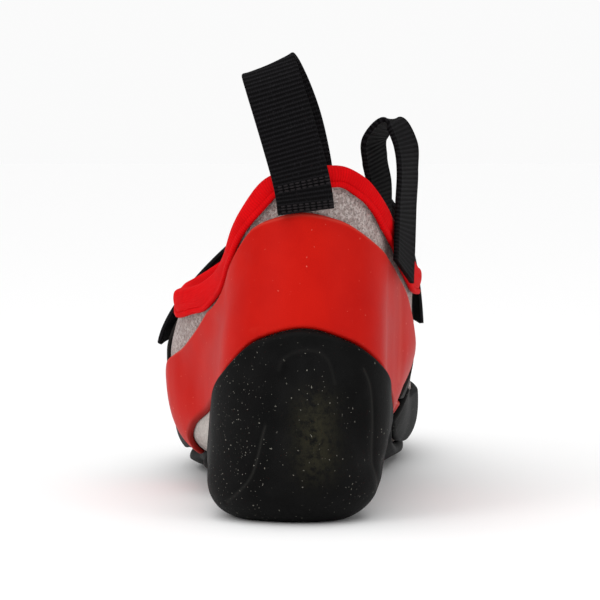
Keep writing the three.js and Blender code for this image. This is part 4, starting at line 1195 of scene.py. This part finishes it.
outer_part = np.clip(profile[:, 0] / piping, 0, 1) * (profile[:, 1] > 0)
narrower = knitted_in(rim_run) - (BINDING_WIDTH - binding_width(rim_places))
down = profile[None, :, 0] + narrower[:, None] * outer_part[None]
crown = PUFF * np.sin(math.pi * np.clip((profile[:, 0] - fold) / (piping - fold), 0, 1)) * (profile[:, 1] > 0)
out = profile[None, :, 1] + crown + 0 * down
binding_grid = beside_rim(down, out)
girth_run = np.cumsum(np.linalg.norm(np.roll(profile, -1, 0) - profile, axis=1))
binding_uv = np.stack(np.broadcast_arrays(rim_run[:, None], girth_run[None]), -1).reshape(-1, 2) / 10
binding = piece_from(
    "collar_elastic", binding_grid.reshape(-1, 3),
    grid_faces(len(rim_places), len(profile), around=True, closed=True), binding_uv,
)
dress(binding, "collar_binding", "red_elastic", red_elastic)

# %% [markdown]
# A pull loop is webbing carried along a smooth path, with its width turned along the way, as in the model.
# The strip's start may be cut aslant, where it goes under the rand's edge.

# %% The pull loops


def webbing_frame(path, count):
    """Middle line of the strip, with its direction, its width's direction and its outward one."""
    centre, ahead = smooth_path(path[:, :3], count)
    width, _ = smooth_path(path[:, 3:] + 1e-6 * path[:, :3], count)
    width -= (width * ahead).sum(1, keepdims=True) * ahead
    width /= np.linalg.norm(width, axis=1, keepdims=True)
    return centre, ahead, width, np.cross(ahead, width)


def pull_loop(name, path, slant=0.0, count=260):
    """The strip's outline, 18 mm by 1.5 mm with round edges, carried along the path and closed at both ends.
    slant: how much further down one corner of its start reaches than the other."""
    centre, ahead, width, out = webbing_frame(path, count)
    run = run_along(centre)
    half, thin = WEBBING_WIDTH / 2, WEBBING_THICKNESS / 2
    outline = filled_in(
        rounded_outline([(-half, thin), (half, thin), (half, -thin), (-half, -thin)], [0.7] * 4, 5), 1.2
    )
    edge_bead = 1 + 0.25 * hill(half - 0.9 - np.abs(outline[:, 0]), 0.7)
    grid = centre[:, None] + outline[None, :, :1] * width[:, None]
    grid = grid + (outline[:, 1] * edge_bead)[None, :, None] * out[:, None]
    cut = slant * (outline[None, :, 0] / half + 0.4) / 2 * np.clip(1 - run / 20, 0, 1)[:, None]
    grid = grid - cut[..., None] * ahead[:, None]
    first, last = grid[:1].mean(1, keepdims=True) + 0 * grid[:1], centre[-1:, None] + 0 * grid[:1]
    grid = np.concatenate([first, grid, last])
    along = np.concatenate([run[:1], run, run[-1:]])
    uv = np.stack(np.broadcast_arrays(along[:, None], outline[None, :, 0]), -1).reshape(-1, 2) / 10
    return piece_from(name, grid.reshape(-1, 3), grid_faces(count + 2, len(outline), closed=True), uv)


dress(pull_loop("heel_pull_loop", HEEL_LOOP), "pull_loop_heel", "webbing", webbing)
dress(pull_loop("side_pull_loop", SIDE_LOOP, slant=9), "pull_loop_side", "webbing", webbing)

# %% [markdown]
# The heel loop is sewn down with two bars of three rows each. A stitch is a short thread that dips into the
# webbing at both ends: a stretched ball, six faces round. All stitches are one mesh.

# %% Stitches


def seam(name, start, stop, out, thick, rings=7, sides=6):
    """One mesh of stitches between arrays of start and stop points. out lifts their middles off the cloth."""
    way = stop - start
    side = np.cross(way, out)
    side /= np.linalg.norm(side, axis=1, keepdims=True)
    t = np.linspace(0, 1, rings)
    full = np.sqrt(np.clip(1 - (2 * t - 1) ** 4, 0, 1)) * thick
    turn = np.arange(sides) / sides * 2 * math.pi
    centre = start[:, None] + t[None, :, None] * way[:, None] + (full * 0.6)[None, :, None] * out[:, None]
    ring = np.cos(turn)[:, None, None] * side[None, :] + np.sin(turn)[:, None, None] * out[None, :]
    points = centre[:, :, None] + full[None, :, None, None] * ring.transpose(1, 0, 2)[:, None]
    one = grid_faces(rings, sides, closed=True)
    faces = (one[None] + (np.arange(len(start)) * rings * sides)[:, None, None]).reshape(-1, 4)
    return piece_from(name, points.reshape(-1, 3), faces, np.zeros((points.size // 3, 2)))


thread = Finish("black_thread", Specular_IOR_Level=0.1)
twist = thread.noise(0.35, 2, stretch=(1, 1, 2))
thread.show(thread.blend(twist, paint(14, 12, 13), paint(46, 42, 44)), 0.6, twist, 0.05)

centre, ahead, width, out = webbing_frame(HEEL_LOOP, 260)
run = run_along(centre)
BAR_ROWS = [0.6, 1.5, 2.4, 7.6, 8.5, 9.4]
STITCH, STITCH_STEP, THREAD_RADIUS = 1.6, 1.9, 0.32
spots = np.meshgrid(BAR_ROWS, np.arange(-7.8, 7.5, STITCH_STEP), indexing="ij")
bar, place_across = (spot.ravel() for spot in spots)
index = np.searchsorted(run, bar)
on_loop = centre[index] + (WEBBING_THICKNESS / 2) * -out[index]
start = on_loop + place_across[:, None] * width[index]
stitches = seam("heel_loop_stitches", start, start + STITCH * width[index], -out[index], THREAD_RADIUS)
dress(stitches, None, "webbing", thread.material)

# %% [markdown]
# The camera stands as high as the top of the heel, 80 cm behind the shoe, as in the photograph. The studio
# is a white floor under an even white sky, with a wide soft light overhead and a softbox on each side. The
# sky is shown brighter than it shines, so that the black rubber isn't greyed by its reflection.

# %% Camera, floor and light
EYE = (np.array([0.0, -800.0, 125.3]) + SHIFT) / 1000
SENSOR = 36
FOCAL_PIXELS, PICTURE_PIXELS = 2560, 600
LOOK = np.array([-8, FOCAL_PIXELS, -169]) / FOCAL_PIXELS
SKY_LIGHT, SKY_SEEN = 0.42, 0.96
LAMPS = [
    ("overhead", "SUN", (-0.15, -0.4, 1.3), math.radians(85), 2.0),
    ("left_behind", "AREA", (-0.9, -0.8, 0.6), 0.5, 3.0),
    ("right_behind", "AREA", (0.9, -0.7, 0.5), 0.5, 1.5),
]


def aimed(thing, place, target):
    """Puts a thing at a place and turns it so that its own -Z looks at the target."""
    thing.location = place
    look = Vector(target) - Vector(place)
    thing.rotation_euler = look.to_track_quat("-Z", "Y").to_euler()
    return thing


camera_data = bpy.data.cameras.new("studio_camera")
camera_data.lens, camera_data.sensor_width = FOCAL_PIXELS / PICTURE_PIXELS * SENSOR, SENSOR
camera_data.clip_start, camera_data.clip_end = 0.05, 50
camera = bpy.data.objects.new("studio_camera", camera_data)
bpy.context.scene.collection.objects.link(camera)
aimed(camera, EYE, EYE + LOOK)
bpy.context.scene.camera = camera


def plain_finish(name, colour, roughness):
    finish = Finish(name, Roughness=roughness, Specular_IOR_Level=0.2)
    finish.shader.inputs["Base Color"].default_value = colour
    return finish.material


floor_mesh = bpy.data.meshes.new("floor")
floor_mesh.from_pydata([(-9, -9, 0), (9, -9, 0), (9, 9, 0), (-9, 9, 0)], [], [(0, 1, 2, 3)])
floor = bpy.data.objects.new("floor", floor_mesh)
floor_mesh.materials.append(plain_finish("white_floor", (0.97, 0.97, 0.97, 1), 0.8))
bpy.context.scene.collection.objects.link(floor)

world = bpy.data.worlds.new("studio")
world.use_nodes = True
sky, paths = world.node_tree.nodes["Background"], world.node_tree.nodes.new("ShaderNodeLightPath")
seen = world.node_tree.nodes.new("ShaderNodeMapRange")
seen.inputs["To Min"].default_value, seen.inputs["To Max"].default_value = SKY_LIGHT, SKY_SEEN
world.node_tree.links.new(paths.outputs["Is Camera Ray"], seen.inputs["Value"])
world.node_tree.links.new(seen.outputs[0], sky.inputs["Strength"])
sky.inputs["Color"].default_value = (1, 1, 1, 1)
bpy.context.scene.world = world
bpy.context.scene.view_settings.view_transform = "Standard"

for name, kind, place, size, power in LAMPS:
    data = bpy.data.lights.new(name, kind)
    data.energy = power
    if kind == "SUN":
        data.angle = size
    else:
        data.shape, data.size = "SQUARE", size
    lamp = bpy.data.objects.new(name, data)
    bpy.context.scene.collection.objects.link(lamp)
    aimed(lamp, place, (0.0, -0.08, 0.05))
print("lamps", len(LAMPS))
